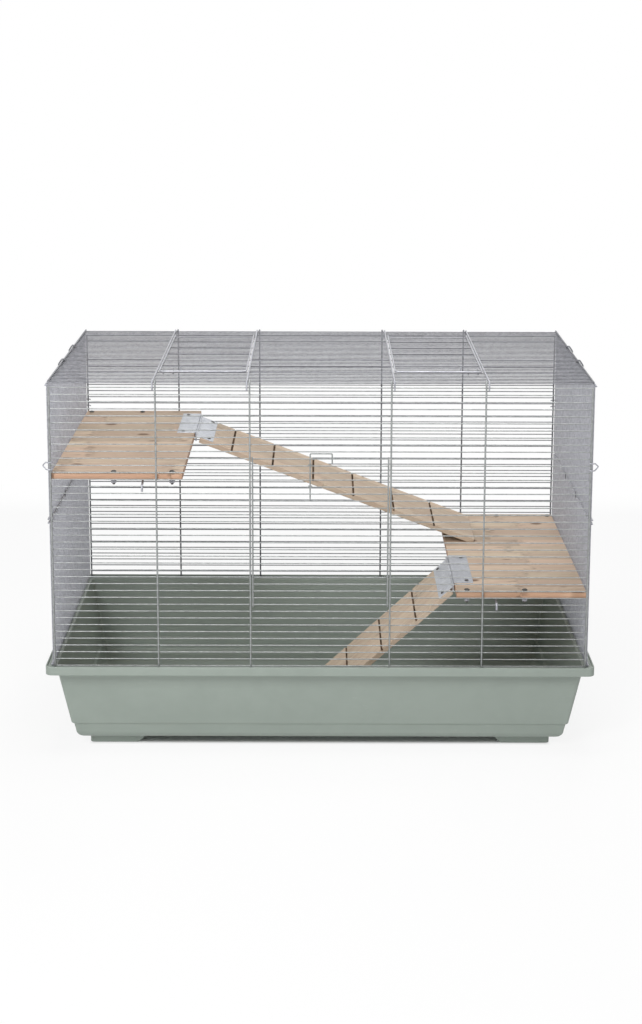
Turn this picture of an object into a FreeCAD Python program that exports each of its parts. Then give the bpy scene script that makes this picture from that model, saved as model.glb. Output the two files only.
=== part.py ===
import FreeCAD, Part
import math
import os

V = FreeCAD.Vector

# Tray: a moulded tub with a turned-down rim and four moulded feet
rim_width = 1000.0
rim_depth = 545.0
tray_height = 173.5
foot_height = 16.0
tray_wall = 2.6
rim_skirt = 16.0
rim_lip = 3.0
rim_corner = 12.0
rim_reach = 17.0
wall_draft = 23.0
step_height = 50.0
step_inset = 4.0
step_slope = 3.0
band_draft = 3.0
bottom_round = 18.0
foot_length = 92.0
foot_depth = 62.0
foot_inset = 6.0
foot_slope = 16.0

# Wire sizes, as diameters
field_wire = 2.0
strut_wire = 3.2
door_wire = 3.0
clip_wire = 2.4
bracket_wire = 4.0
pin_wire = 3.0
field_sides = 4
strut_sides = 6
bar_sides = 8

# Clearances
seat_gap = 0.3
loop_gap = 0.3
corner_gap = 0.5
door_gap = 1.5
slide_gap = 0.4
bore_gap = 0.05
hole_gap = 0.1
board_gap = 1.4
ramp_wall_gap = 1.5

# Wire panels
panel_inset = 9.5
wire_pitch = 12.95
front_rows = 41
first_row = 1.5
roof_rise = 8.3
inner_strut_x = 126.2
outer_strut_x = 294.0
roof_strut_shift = 5.0
roof_edge_inset = 6.5
roof_hook_drop = 16.0
side_top_drop = 4.7
side_split = 7.2
side_mid_rise = 12.0
ring_row = 14
ring_hook = 60.0
ring_step = 30.0
loop_sweep = 270.0
loop_chords = 6
clip_row = 29
clip_reach = 6.0
clip_sweep = 150.0

# Front door, between two rows of the front panel
door_first_row = 10
door_last_row = 30
door_top_reach = 4.0
latch_x = -18.5
latch_span = 39.5
latch_pull_row = 24
latch_pull_out = 10.0
latch_short_leg = 19.0
staple_wire = 2.0

# Roof doors, between two rows of the roof
roof_door_first_row = 8
roof_door_last_row = 34
roof_door_reach = 6.0
roof_door_corner = 9.0
bolt_latch_length = 40.0
bolt_latch_finger = 12.0
bolt_latch_rings = (8.0, 26.0)

# Wooden shelves
shelf_width = 236.0
shelf_thickness = 12.0
upper_shelf_row = 26
lower_shelf_row = 9
bracket_rise = 6.0
bracket_span = 105.0
bracket_inset = 14.0
bracket_tip = 12.0
front_bracket_in = 72.0
back_bracket_in = 173.0
bolt_radius = 2.5
bolt_head_radius = 5.0
bolt_head_height = 3.2
nut_radius = 4.6
nut_height = 4.2
nut_tail = 3.0

# Wooden ramps and their strip hinges
ramp_width = 172.0
ramp_thickness = 10.0
ramp_start = 10.0
ramp_bevel = 5.0
ramp_spacing = 90.0
upper_ramp_landing = 57.0
lower_ramp_angle = 42.6
upper_first_groove = 76.0
lower_first_groove = 94.5
groove_pitch = 85.5
groove_width = 4.0
groove_depth = 3.0
leaf_length = 168.0
leaf_width = 36.0
leaf_sheet = 1.0
hinge_drop = 3.6
knuckle_length = 55.0
knuckle_sides = 12
knuckle_gap = 0.4
screw_spacing = 140.0
screw_offset = 26.0
screw_radius = 1.6
screw_depth = 8.0
screw_head_radius = 3.8
screw_head_height = 2.2
pin_overhang = 5.0
pin_tail = 11.0

# Radii, and the reach of the corners of a wire drawn with flats
field_r = field_wire / 2
strut_r = strut_wire / 2
door_r = door_wire / 2
clip_r = clip_wire / 2
bracket_r = bracket_wire / 2
pin_r = pin_wire / 2
pin_tail_r = pin_r * math.cos(math.pi / bar_sides) - hole_gap
staple_r = staple_wire / 2
field_reach = field_r / math.cos(math.pi / field_sides)
strut_reach = strut_r / math.cos(math.pi / strut_sides)
clip_reach_r = clip_r / math.cos(math.pi / strut_sides)
staple_reach = staple_r / math.cos(math.pi / field_sides)
loop_chord = math.cos(math.radians(loop_sweep / loop_chords / 2))
ring_chord = math.cos(math.radians(ring_step / 2))


def loop_radius(wire_r):
    """Centre line of a loop that turns freely about a field wire."""
    return (field_reach + loop_gap + wire_r) / loop_chord


# Levels and places worked out from the sizes above
wire_bottom = tray_height - rim_lip + seat_gap
half_x = rim_width / 2 - panel_inset
half_y = rim_depth / 2 - panel_inset
face_strut_y = half_y - strut_r
face_row_y = half_y - strut_wire - field_r
side_strut_x = half_x - strut_r
side_row_x = half_x - strut_wire - field_r
end_strut_x = side_row_x - field_reach - corner_gap - strut_r
row_end_x = end_strut_x + strut_r
roof_edge_y = face_strut_y - loop_radius(strut_r)
roof_rows = int(round(2 * roof_edge_y / wire_pitch)) + 1
roof_pitch = 2 * roof_edge_y / (roof_rows - 1)
face_strut_xs = (inner_strut_x, outer_strut_x)
roof_strut_xs = (inner_strut_x + roof_strut_shift, outer_strut_x + roof_strut_shift)


def row_z(row):
    """Height of a horizontal wire of the front and back panels."""
    return wire_bottom + first_row + row * wire_pitch


def roof_y(row):
    """Distance of a crosswise wire of the roof from the cage's middle."""
    return -roof_edge_y + row * roof_pitch


roof_row_z = row_z(front_rows - 1) + roof_rise
roof_strut_z = roof_row_z + field_r + strut_r
roof_side_x = half_x - roof_edge_inset
side_top_z = roof_row_z - side_top_drop
side_mid_z = (wire_bottom + side_top_z) / 2 + side_mid_rise


def wire_rod(points, radius, sides, face):
    """A wire as a bar of flats with one flat turned to face, mitred at each point of its path."""
    along = [(b - a).normalize() for a, b in zip(points, points[1:])]
    across = face - along[0] * face.dot(along[0])
    across.normalize()
    third = along[0].cross(across)
    corner = radius / math.cos(math.pi / sides)
    turns = [(k + 0.5) * 2 * math.pi / sides for k in range(sides)]
    ring = [points[0] + across * (corner * math.cos(t)) + third * (corner * math.sin(t)) for t in turns]
    rings = [ring]
    for i, direction in enumerate(along):
        last = i == len(along) - 1
        normal = direction if last else (direction + along[i + 1]).normalize()
        target = points[i + 1]
        ring = [p + direction * ((target - p).dot(normal) / direction.dot(normal)) for p in ring]
        rings.append(ring)
    faces = [Part.Face(Part.makePolygon(end + end[:1])) for end in (rings[0][::-1], rings[-1])]
    for near, far in zip(rings, rings[1:]):
        for k in range(sides):
            n = (k + 1) % sides
            faces.append(Part.Face(Part.makePolygon([near[k], near[n], far[n], far[k], near[k]])))
    solid = Part.makeSolid(Part.makeShell(faces))
    if solid.Volume < 0:
        solid.reverse()
    return solid


def arc_points(centre, radius, first, second, start, sweep, chords):
    """Points of an arc in the plane of two directions, angles in degrees."""
    angles = [math.radians(start + sweep * k / chords) for k in range(chords + 1)]
    return [centre + first * (radius * math.cos(a)) + second * (radius * math.sin(a)) for a in angles]


def field_rod(a, b, face):
    return wire_rod([V(*a), V(*b)], field_r, field_sides, face)


def hinge_rod(a, b):
    """A row left truly round, for a door's eyes to turn on."""
    along = V(*b) - V(*a)
    return Part.makeCylinder(field_r, along.Length, V(*a), along)


def strut_rod(points, face, radius=strut_r):
    return wire_rod([V(*p) for p in points], radius, strut_sides, face)


def joining_ring(a, b, reach, axis):
    """A wire ring bent close about two wires, a and b, square to axis and open beside a."""
    first = (b - a).normalize()
    second = axis.cross(first)
    radius = (reach + loop_gap + clip_r) / ring_chord
    chords = int(ring_hook / ring_step)
    start = arc_points(a, radius, first, second, -90 - ring_hook, ring_hook, chords)
    bend = arc_points(b, radius, first, second, -90, 180, int(180 / ring_step))
    end = arc_points(a, radius, first, second, 90, ring_hook, chords)
    return wire_rod(start + bend + end, clip_r, field_sides, axis)


def rounded_outline(half_width, half_depth, corner, z):
    """A closed outline with round corners, level at height z."""
    w, d, c = half_width, half_depth, corner
    k = c * (1 - math.sqrt(0.5))
    edges = []
    corners = [(1, 1), (-1, 1), (-1, -1), (1, -1)]
    for sx, sy in corners:
        start, middle, end = (sx * w, sy * (d - c)), (sx * (w - k), sy * (d - k)), (sx * (w - c), sy * d)
        if sx * sy < 0:
            start, end = end, start
        edges.append([V(*p, z) for p in (start, middle, end)])
    joined = []
    for here, following in zip(edges, edges[1:] + edges[:1]):
        joined.append(Part.Arc(*here).toShape())
        joined.append(Part.LineSegment(here[2], following[0]).toShape())
    return Part.Wire(joined)


def tub(levels):
    """A solid through level outlines given as (height, inset from the rim's outline)."""
    outlines = []
    for z, inset in levels:
        corner = max(rim_corner - inset * rim_corner / rim_reach / 4, rim_corner / 3)
        outlines.append(rounded_outline(rim_width / 2 - inset, rim_depth / 2 - inset, corner, z))
    return Part.makeLoft(outlines, True, True)


wall_top_inset = rim_reach
wall_foot_inset = wall_top_inset + wall_draft
band_inset = wall_foot_inset + step_inset
base_inset = band_inset + band_draft
round_side = bottom_round * (1 - math.sqrt(0.5))
lower_ramp_y = ramp_width / 2 + ramp_wall_gap + base_inset + bottom_round - rim_depth / 2
upper_ramp_y = lower_ramp_y + ramp_width + ramp_spacing


def tray():
    """The tub, its flange with a raised lip and a turned-down skirt, and the feet."""
    flange_top = tray_height - rim_lip
    flange_under = flange_top - tray_wall
    floor = foot_height
    outside = [(flange_under, wall_top_inset), (step_height, wall_foot_inset),
               (step_height - step_slope, band_inset), (floor + bottom_round, base_inset),
               (floor + round_side, base_inset + round_side), (floor, base_inset + bottom_round)]
    inside = [(flange_top + rim_lip, wall_top_inset + tray_wall), (step_height, wall_foot_inset + tray_wall),
              (step_height - step_slope, band_inset + tray_wall),
              (floor + bottom_round, base_inset + tray_wall),
              (floor + tray_wall, base_inset + bottom_round)]
    hollow = tub(inside)
    skirt = tub([(tray_height, 0.0), (tray_height - rim_skirt, 0.0)])
    skirt_room = tub([(tray_height - rim_skirt, tray_wall), (flange_under, tray_wall)])
    lip_room = tub([(flange_top, tray_wall), (tray_height, tray_wall)])
    body = skirt.cut(skirt_room).cut(lip_room).fuse(tub(outside)).cut(hollow)
    return body.fuse(feet()).removeSplitter()


def feet():
    """Four corner feet, each with a sloping inner end."""
    outer_x = rim_width / 2 - base_inset - bottom_round - foot_inset
    outer_y = rim_depth / 2 - base_inset - bottom_round - foot_inset
    made = []
    for sx in (-1, 1):
        for sy in (-1, 1):
            outer = sx * outer_x
            inner = sx * (outer_x - foot_length)
            slope = sx * (outer_x - foot_length - foot_slope)
            y = sy * outer_y
            profile = [V(outer, y, 0), V(inner, y, 0), V(slope, y, foot_height), V(outer, y, foot_height)]
            side = Part.Face(Part.makePolygon(profile + profile[:1]))
            made.append(side.extrude(V(0, -sy * foot_depth, 0)))
    return made


def face_strut(x, side):
    """An upright of the front or back panel, its top curled into an eye about the roof's edge wire."""
    y = side * face_strut_y
    eye = V(x, side * roof_edge_y, roof_row_z)
    curl = arc_points(eye, loop_radius(strut_r), V(0, side, 0), V(0, 0, 1), 0, loop_sweep, loop_chords)
    return wire_rod([V(x, y, wire_bottom)] + curl, strut_r, strut_sides, V(0, 1, 0))


def face_panel(side, door):
    """The front (side -1) or back (side 1) panel; a door leaves its rows open between two uprights."""
    wires = [face_strut(sx * x, side) for x in face_strut_xs for sx in (-1, 1)]
    top = row_z(front_rows - 1) + strut_r
    for x in (-end_strut_x, end_strut_x):
        ends = [(x, side * face_strut_y, wire_bottom), (x, side * face_strut_y, top)]
        wires.append(strut_rod(ends, V(0, 1, 0)))
    y = side * face_row_y
    cut_x = inner_strut_x - strut_r
    for row in range(front_rows):
        z = row_z(row)
        if door and row == door_first_row - 1:
            wires.append(hinge_rod((-row_end_x, y, z), (row_end_x, y, z)))
            continue
        if door and door_first_row <= row <= door_last_row:
            spans = [(-row_end_x, -cut_x), (cut_x, row_end_x)]
        else:
            spans = [(-row_end_x, row_end_x)]
        wires += [field_rod((a, y, z), (b, y, z), V(0, 1, 0)) for a, b in spans]
    return Part.makeCompound(wires)


def side_panel(side, low, high, low_strut, high_strut):
    """Half of a side wall: close uprights with two long wires outside them."""
    x = side * side_row_x
    wires = [field_rod((x, roof_y(k), low), (x, roof_y(k), high), V(1, 0, 0)) for k in range(roof_rows)]
    reach = roof_edge_y + field_reach
    for z in (low_strut, high_strut):
        ends = [(side * side_strut_x, -reach, z), (side * side_strut_x, reach, z)]
        wires.append(strut_rod(ends, V(1, 0, 0)))
    return Part.makeCompound(wires)


def lower_side_panel(side):
    top = side_mid_z - side_split / 2
    return side_panel(side, wire_bottom, top + strut_r, wire_bottom + strut_wire, top)


def upper_side_panel(side):
    bottom = side_mid_z + side_split / 2
    return side_panel(side, bottom - strut_r, side_top_z + strut_r, bottom, side_top_z)


def roof_panel():
    """Crosswise wires under long struts, with the struts' ends turned down over the top rows."""
    wires = []
    hook_y = face_row_y + field_r + loop_gap + strut_r
    tip_z = roof_strut_z - roof_hook_drop
    for x in roof_strut_xs:
        for sx in (-1, 1):
            path = [(sx * x, -hook_y, tip_z), (sx * x, -hook_y, roof_strut_z),
                    (sx * x, hook_y, roof_strut_z), (sx * x, hook_y, tip_z)]
            wires.append(strut_rod(path, V(0, 1, 0)))
    reach = roof_edge_y + field_reach
    for x in (-roof_side_x, roof_side_x):
        wires.append(strut_rod([(x, -reach, roof_strut_z), (x, reach, roof_strut_z)], V(0, 0, 1)))
    end = roof_side_x + strut_r
    inner, outer = roof_strut_xs[0] - strut_r, roof_strut_xs[1] + strut_r
    for row in range(roof_rows):
        y = roof_y(row)
        if row == roof_door_last_row + 1:
            wires.append(hinge_rod((-end, y, roof_row_z), (end, y, roof_row_z)))
            continue
        if roof_door_first_row <= row <= roof_door_last_row:
            spans = [(-end, -outer + strut_wire), (-inner - strut_wire, inner + strut_wire),
                     (outer - strut_wire, end)]
        else:
            spans = [(-end, end)]
        wires += [field_rod((a, y, roof_row_z), (b, y, roof_row_z), V(0, 0, 1)) for a, b in spans]
    return Part.makeCompound(wires)


def panel_rings(side):
    """Rings that join the two halves of a side wall, and its upper half to the roof."""
    rings = []
    axis = V(0, 1, 0)
    between = roof_y(ring_row) + roof_pitch / 2
    for y in (between, -between):
        low = V(side * side_strut_x, y, side_mid_z - side_split / 2)
        high = V(side * side_strut_x, y, side_mid_z + side_split / 2)
        top = V(side * side_strut_x, y, side_top_z)
        edge = V(side * roof_side_x, y, roof_strut_z)
        rings.append(joining_ring(low, high, strut_reach, axis))
        rings.append(joining_ring(top, edge, strut_reach, axis))
    return Part.makeCompound(rings)


def corner_clip(sx, sy):
    """A sprung wire clip: two hooks about the corner's two uprights and a point that stands out."""
    strut = V(sx * end_strut_x, sy * face_strut_y, 0)
    upright = V(sx * side_row_x, sy * roof_edge_y, 0)
    centre = (strut + upright) * 0.5
    out = V(sx, 0, 0)
    along = V(0, sy, 0)
    radius = ((upright - strut).Length / 2 + strut_reach + loop_gap + clip_r) / loop_chord
    high = V(0, 0, row_z(clip_row) + wire_pitch / 2)
    low = V(0, 0, row_z(clip_row) - wire_pitch / 2)
    tip = centre + out * (radius + clip_reach) + V(0, 0, row_z(clip_row))
    hook = arc_points(centre, radius, out, along, 180, -clip_sweep, loop_chords - 2)
    points = [p + high for p in hook] + [tip] + [p + low for p in reversed(hook)]
    return wire_rod(points, clip_r, field_sides, V(0, 0, 1))


def corner_clips(sy):
    return Part.makeCompound([corner_clip(sx, sy) for sx in (-1, 1)])


door_frame_y = -face_row_y - loop_radius(door_r)
door_row_y = door_frame_y + door_r + field_r
door_side_x = inner_strut_x - strut_r - door_gap - door_r
latch_y = -face_row_y + field_r + slide_gap + clip_reach_r


def door_staple(x, row):
    """A staple on a door row that guides one leg of the latch."""
    inner = latch_y + clip_reach_r + loop_gap + staple_reach
    side = clip_reach_r + slide_gap + staple_reach
    start = door_row_y + field_r
    path = [V(x - side, start, row_z(row)), V(x - side, inner, row_z(row)),
            V(x + side, inner, row_z(row)), V(x + side, start, row_z(row))]
    return wire_rod(path, staple_r, field_sides, V(0, 0, 1))


def front_door():
    """Rows of wire on two uprights whose lower ends curl about a row of the panel."""
    hinge_z = row_z(door_first_row - 1)
    top = row_z(door_last_row) + door_top_reach
    wires = []
    for sx in (-1, 1):
        x = sx * door_side_x
        eye = V(x, -face_row_y, hinge_z)
        curl = arc_points(eye, loop_radius(door_r), V(0, -1, 0), V(0, 0, -1), 0, loop_sweep, loop_chords)
        wires.append(wire_rod([V(x, door_frame_y, top)] + curl, door_r, strut_sides, V(0, 1, 0)))
    reach = door_side_x + door_r
    for row in range(door_first_row, door_last_row + 1):
        z = row_z(row)
        wires.append(field_rod((-reach, door_row_y, z), (reach, door_row_y, z), V(0, 1, 0)))
    wires += [door_staple(latch_x, row) for row in (latch_pull_row + 2, door_last_row - 1)]
    wires.append(door_staple(latch_x + latch_span, door_last_row))
    return Part.makeCompound(wires)


def front_latch():
    """A bent wire that slides up behind the row above the door, with a pull at its lower end."""
    top = row_z(door_last_row + 1) - field_reach - clip_reach_r - door_gap
    low = row_z(latch_pull_row) + field_reach + slide_gap + clip_reach_r
    short = latch_x + latch_span
    path = [(latch_x, latch_y - latch_pull_out, low), (latch_x, latch_y, low), (latch_x, latch_y, top),
            (short, latch_y, top), (short, latch_y, top - latch_short_leg)]
    return strut_rod(path, V(1, 0, 0) + V(0, 0, 1), clip_r)


roof_frame_z = roof_row_z + loop_radius(door_r)
roof_door_row_z = roof_frame_z - door_r - field_r
roof_door_outer = roof_strut_xs[1] - strut_r - door_gap - door_r
roof_door_inner = roof_strut_xs[0] + strut_r + door_gap + door_r
bolt_latch_y = roof_y(roof_door_first_row) - roof_pitch / 2
bolt_latch_z = roof_strut_z - strut_reach - slide_gap - clip_reach_r
bolt_latch_tip = roof_strut_xs[1] - strut_reach - door_gap


def roof_door(side):
    """A bent frame with rows of wire under it, curled at the back about a row of the roof."""
    hinge = V(0, roof_y(roof_door_last_row + 1), roof_row_z)
    front = roof_y(roof_door_first_row - 1) - roof_door_reach
    across, ahead, up = V(side, 0, 0), V(0, -1, 0), V(0, 0, 1)
    radius = loop_radius(door_r)
    inner_eye = hinge + across * roof_door_inner
    outer_eye = hinge + across * roof_door_outer
    curl = arc_points(inner_eye, radius, -ahead, up, 90 - loop_sweep, loop_sweep, loop_chords)
    back_curl = arc_points(outer_eye, radius, -ahead, up, 90, -loop_sweep, loop_chords)
    c = roof_door_corner
    inner_corner = V(side * (roof_door_inner + c), front + c, roof_frame_z)
    outer_corner = V(side * (roof_door_outer - c), front + c, roof_frame_z)
    turn_in = arc_points(inner_corner, c, -across, ahead, 0, 90, 3)
    turn_out = arc_points(outer_corner, c, ahead, across, 0, 90, 3)
    frame = wire_rod(curl + turn_in + turn_out + back_curl, door_r, strut_sides, V(0, 1, 0))
    wires = [frame]
    inner, outer = side * (roof_door_inner - door_r), side * (roof_door_outer + door_r)
    for row in range(roof_door_first_row, roof_door_last_row + 1):
        y = roof_y(row)
        wires.append(field_rod((inner, y, roof_door_row_z), (outer, y, roof_door_row_z), V(0, 0, 1)))
    for step in bolt_latch_rings:
        x = side * (bolt_latch_tip - step)
        row_wire = V(x, roof_y(roof_door_first_row), roof_door_row_z)
        latch_wire = V(x, bolt_latch_y, bolt_latch_z)
        wires.append(joining_ring(row_wire, latch_wire, clip_reach_r, V(1, 0, 0)))
    return Part.makeCompound(wires)


def roof_latch(side):
    """A wire bolt drawn back inside the door's frame, with a finger turned up at its inner end."""
    inner = bolt_latch_tip - bolt_latch_length
    path = [(side * bolt_latch_tip, bolt_latch_y, bolt_latch_z), (side * inner, bolt_latch_y, bolt_latch_z),
            (side * inner, bolt_latch_y, bolt_latch_z + bolt_latch_finger)]
    return strut_rod(path, V(0, 1, 0), clip_r)


shelf_outer_x = side_row_x - field_reach - board_gap
shelf_inner_x = shelf_outer_x - shelf_width
shelf_half_y = face_row_y - field_r - board_gap
knuckle_r = pin_r + bore_gap + leaf_sheet
knuckle_free = knuckle_r / math.cos(math.pi / knuckle_sides) + knuckle_gap
hinge_x = shelf_inner_x - knuckle_r - knuckle_gap
screw_steps = (-screw_spacing / 2, screw_spacing / 2)
bolt_hole = bolt_radius + hole_gap
bracket_places = ((shelf_inner_x + front_bracket_in, -1), (shelf_inner_x + back_bracket_in, 1))
upper_side, lower_side = -1, 1


def shelf_bottom(row):
    """Underside of a shelf whose hooks lie on this row."""
    return row_z(row) + field_r + bracket_r + bracket_rise + bracket_r


def shelf_top(row):
    return shelf_bottom(row) + shelf_thickness


def hinge_z(row):
    """Height of the pin of a shelf's hinge."""
    return shelf_top(row) - hinge_drop


def upright_bar(radius, low, high, x, y):
    """An upright bar drawn with flats, from one height to another."""
    return wire_rod([V(x, y, low), V(x, y, high)], radius, bar_sides, V(1, 0, 0))


def bolt_places(side):
    """Places of a shelf's four bolts, two to each bracket."""
    places = []
    for middle, sy in bracket_places:
        for step in (-bracket_span / 2, bracket_span / 2):
            places.append((side * (middle + step), sy * (shelf_half_y - bracket_inset)))
    return places


def board_screw_places(side, ramp_y):
    """Places of the two screws of a hinge's leaf on its shelf."""
    x = side * (hinge_x + screw_offset)
    return [(x, ramp_y + step) for step in screw_steps]


def shelf(side, row, ramp_y):
    """A board with holes for its bracket bolts and its hinge screws."""
    low, high = shelf_bottom(row), shelf_top(row)
    x = min(side * shelf_inner_x, side * shelf_outer_x)
    board = Part.makeBox(shelf_width, 2 * shelf_half_y, shelf_thickness, V(x, -shelf_half_y, low))
    for px, py in bolt_places(side):
        board = board.cut(upright_bar(bolt_hole, low - 1, high + 1, px, py))
    for px, py in board_screw_places(side, ramp_y):
        screw_low = high + leaf_sheet - screw_depth
        board = board.cut(upright_bar(screw_radius + hole_gap, screw_low, high + 1, px, py))
    return board


def shelf_brackets(side, row):
    """Wire brackets under a shelf's ends: a bar with two eyes, and a hook over a row of the panel."""
    wires = []
    bar_z = shelf_bottom(row) - bracket_r
    hook_z = row_z(row) + field_r + bracket_r
    for middle, sy in bracket_places:
        y = sy * (shelf_half_y - bracket_inset)
        x = side * middle
        eye_gap = bolt_radius + 3 * hole_gap
        reach = bracket_span / 2 - eye_gap
        bar = strut_rod([(x - reach, y, bar_z), (x + reach, y, bar_z)], V(0, 0, 1), bracket_r)
        eyes = []
        for step in (-bracket_span / 2, bracket_span / 2):
            eye = upright_bar(eye_gap + bracket_wire, bar_z - bracket_r, bar_z + bracket_r, x + step, y)
            hole = upright_bar(bolt_hole, bar_z - bracket_wire, bar_z + bracket_wire, x + step, y)
            eyes.append(eye.cut(hole))
        out_y = sy * (face_row_y + field_r + seat_gap + bracket_r)
        in_y = sy * (face_row_y - field_r - bracket_wire)
        hook = strut_rod([(x, y, bar_z), (x, in_y, hook_z), (x, out_y, hook_z),
                          (x, out_y, hook_z - bracket_tip)], V(0, 0, 1), bracket_r)
        wires.append(bar.fuse(eyes + [hook]).removeSplitter())
    return Part.makeCompound(wires)


def shelf_bolts(side, row):
    """Four bolts with flat heads on the board."""
    high = shelf_top(row)
    low = shelf_bottom(row) - bracket_wire - nut_height - nut_tail
    bolts = []
    for x, y in bolt_places(side):
        shank = upright_bar(bolt_radius, low, high, x, y)
        head = upright_bar(bolt_head_radius, high, high + bolt_head_height, x, y)
        bolts.append(shank.fuse(head).removeSplitter())
    return Part.makeCompound(bolts)


def shelf_nuts(side, row):
    """Six-sided nuts that draw the brackets' eyes up to the board."""
    high = shelf_bottom(row) - bracket_wire
    nuts = []
    for x, y in bolt_places(side):
        ends = [V(x, y, high - nut_height), V(x, y, high)]
        nut = wire_rod(ends, nut_radius, 6, V(1, 0, 0))
        nuts.append(nut.cut(upright_bar(bolt_hole, high - nut_height - 1, high + 1, x, y)))
    return Part.makeCompound(nuts)


def ramp_slope(upper):
    """Slope angle in degrees and length from the hinge's pin to the ramp's resting end."""
    drop_below_pin = knuckle_r + ramp_thickness - ramp_bevel
    if upper:
        fall = hinge_z(upper_shelf_row) - shelf_top(lower_shelf_row) - seat_gap
        run = hinge_x + shelf_inner_x + upper_ramp_landing
        reach = math.hypot(fall, run)
        angle = math.atan2(fall, run) - math.asin(drop_below_pin / reach)
        return math.degrees(angle), math.sqrt(reach * reach - drop_below_pin * drop_below_pin)
    angle = math.radians(lower_ramp_angle)
    fall = hinge_z(lower_shelf_row) - foot_height - tray_wall - seat_gap
    return lower_ramp_angle, (fall - drop_below_pin * math.cos(angle)) / math.sin(angle)


def at_hinge(shape, upper, angle):
    """Sets a shape made along +X from the pin onto its hinge, turned down by angle towards the ramp."""
    row, y = (upper_shelf_row, upper_ramp_y) if upper else (lower_shelf_row, lower_ramp_y)
    side = upper_side if upper else lower_side
    turned = shape.copy()
    turned.rotate(V(0, 0, 0), V(0, 1, 0), angle)
    if not upper:
        turned.rotate(V(0, 0, 0), V(0, 0, 1), 180)
    turned.translate(V(side * hinge_x, y, hinge_z(row)))
    return turned


def screw_holes(top):
    """Holes for a leaf's two screws, through the sheet and into the wood; top is the sheet's upper side."""
    return [upright_bar(screw_radius + hole_gap, top - screw_depth, top + 1, screw_offset, step)
            for step in screw_steps]


def ramp(upper):
    """A board with saw grooves across it for the feet to grip, and an end cut level to stand on."""
    angle, length = ramp_slope(upper)
    front, top = -ramp_width / 2, -knuckle_r
    low = top - ramp_thickness
    board = Part.makeBox(length - ramp_start, ramp_width, ramp_thickness, V(ramp_start, front, low))
    heel = length - ramp_bevel / math.tan(math.radians(angle))
    wedge = [V(heel, front, low), V(length, front, low), V(length, front, low + ramp_bevel)]
    board = board.cut(Part.Face(Part.makePolygon(wedge + wedge[:1])).extrude(V(0, ramp_width, 0)))
    first_groove = upper_first_groove if upper else lower_first_groove
    for k in range(int((heel - first_groove) / groove_pitch) + 1):
        x = first_groove + k * groove_pitch - groove_width / 2
        groove = Part.makeBox(groove_width, ramp_width, groove_depth, V(x, front, top - groove_depth))
        board = board.cut(groove)
    return at_hinge(board.cut(screw_holes(ramp_leaf_top)), upper, angle)


def knuckle_spans(on_shelf):
    """Stretches of the pin held by the shelf's leaf, at both ends, or by the ramp's, in the middle."""
    end = leaf_length / 2
    inner = end - knuckle_length
    if on_shelf:
        return [(-end, -inner), (inner, end)]
    return [(-inner + knuckle_gap, inner - knuckle_gap)]


ramp_leaf_top = leaf_sheet - knuckle_r
shelf_leaf_top = leaf_sheet + hinge_drop


def leaf_tabs(on_shelf, x, z, width, height):
    """Strips of a leaf's sheet that run into its rolls."""
    return [Part.makeBox(width, end - start, height, V(x, start, z))
            for start, end in knuckle_spans(on_shelf)]


def rolled_leaf(plates, on_shelf, top):
    """A leaf's plates joined to its rolls about the pin, with the pin's bore and the screws' holes."""
    rolls = []
    for start, end in knuckle_spans(on_shelf):
        rolls.append(wire_rod([V(0, start, 0), V(0, end, 0)], knuckle_r, knuckle_sides, V(0, 0, 1)))
    bore = Part.makeCylinder(pin_r + bore_gap, leaf_length, V(0, -leaf_length / 2, 0), V(0, 1, 0))
    solid = plates[0].fuse(plates[1:] + rolls)
    return solid.cut([bore] + screw_holes(top)).removeSplitter()


def ramp_leaf():
    """A flat sheet leaf along +X from the pin."""
    corner = V(knuckle_free, -leaf_length / 2, -knuckle_r)
    flat = Part.makeBox(leaf_width - knuckle_free, leaf_length, leaf_sheet, corner)
    tabs = leaf_tabs(False, 0, -knuckle_r, knuckle_free, leaf_sheet)
    return rolled_leaf([flat] + tabs, False, ramp_leaf_top)


def shelf_leaf():
    """A sheet leaf bent over a board's edge: flat on the board along +X, and down to the pin."""
    x = knuckle_r - leaf_sheet
    flat = Part.makeBox(leaf_width, leaf_length, leaf_sheet, V(x, -leaf_length / 2, hinge_drop))
    apron = Part.makeBox(leaf_sheet, leaf_length, hinge_drop - knuckle_free,
                         V(x, -leaf_length / 2, knuckle_free))
    tabs = leaf_tabs(True, x, 0, leaf_sheet, knuckle_free)
    return rolled_leaf([flat, apron] + tabs, True, shelf_leaf_top)


def leaf_screws(top):
    """Two pan-head screws through a leaf; top is the sheet's upper side."""
    screws = []
    for step in screw_steps:
        shank = upright_bar(screw_radius, top - screw_depth + hole_gap, top, screw_offset, step)
        head = upright_bar(screw_head_radius, top, top + screw_head_height, screw_offset, step)
        screws.append(shank.fuse(head).removeSplitter())
    return Part.makeCompound(screws)


def hinge_pin():
    """A round wire pin with a tail bent down in front of the ramp's edge."""
    front = -ramp_width / 2 - pin_overhang
    pin = Part.makeCylinder(pin_r, leaf_length / 2 - front, V(0, front, 0), V(0, 1, 0))
    tail = upright_bar(pin_tail_r, -pin_tail, 0, 0, front + pin_r)
    return pin.fuse(tail).removeSplitter()


def on_shelf_side(shape, upper):
    """Sets a hinge piece made along +X onto the shelf's side of the pin."""
    turned = shape.copy()
    turned.rotate(V(0, 0, 0), V(0, 0, 1), 180)
    return at_hinge(turned, upper, 0)


def front_tail(shape, upper):
    """Keeps the pin's bent end at the cage's front on both hinges."""
    return at_hinge(shape, upper, 0) if upper else on_shelf_side(shape, upper)


def export(name, shape):
    shape.exportStep("parts/" + name + ".step")


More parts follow.
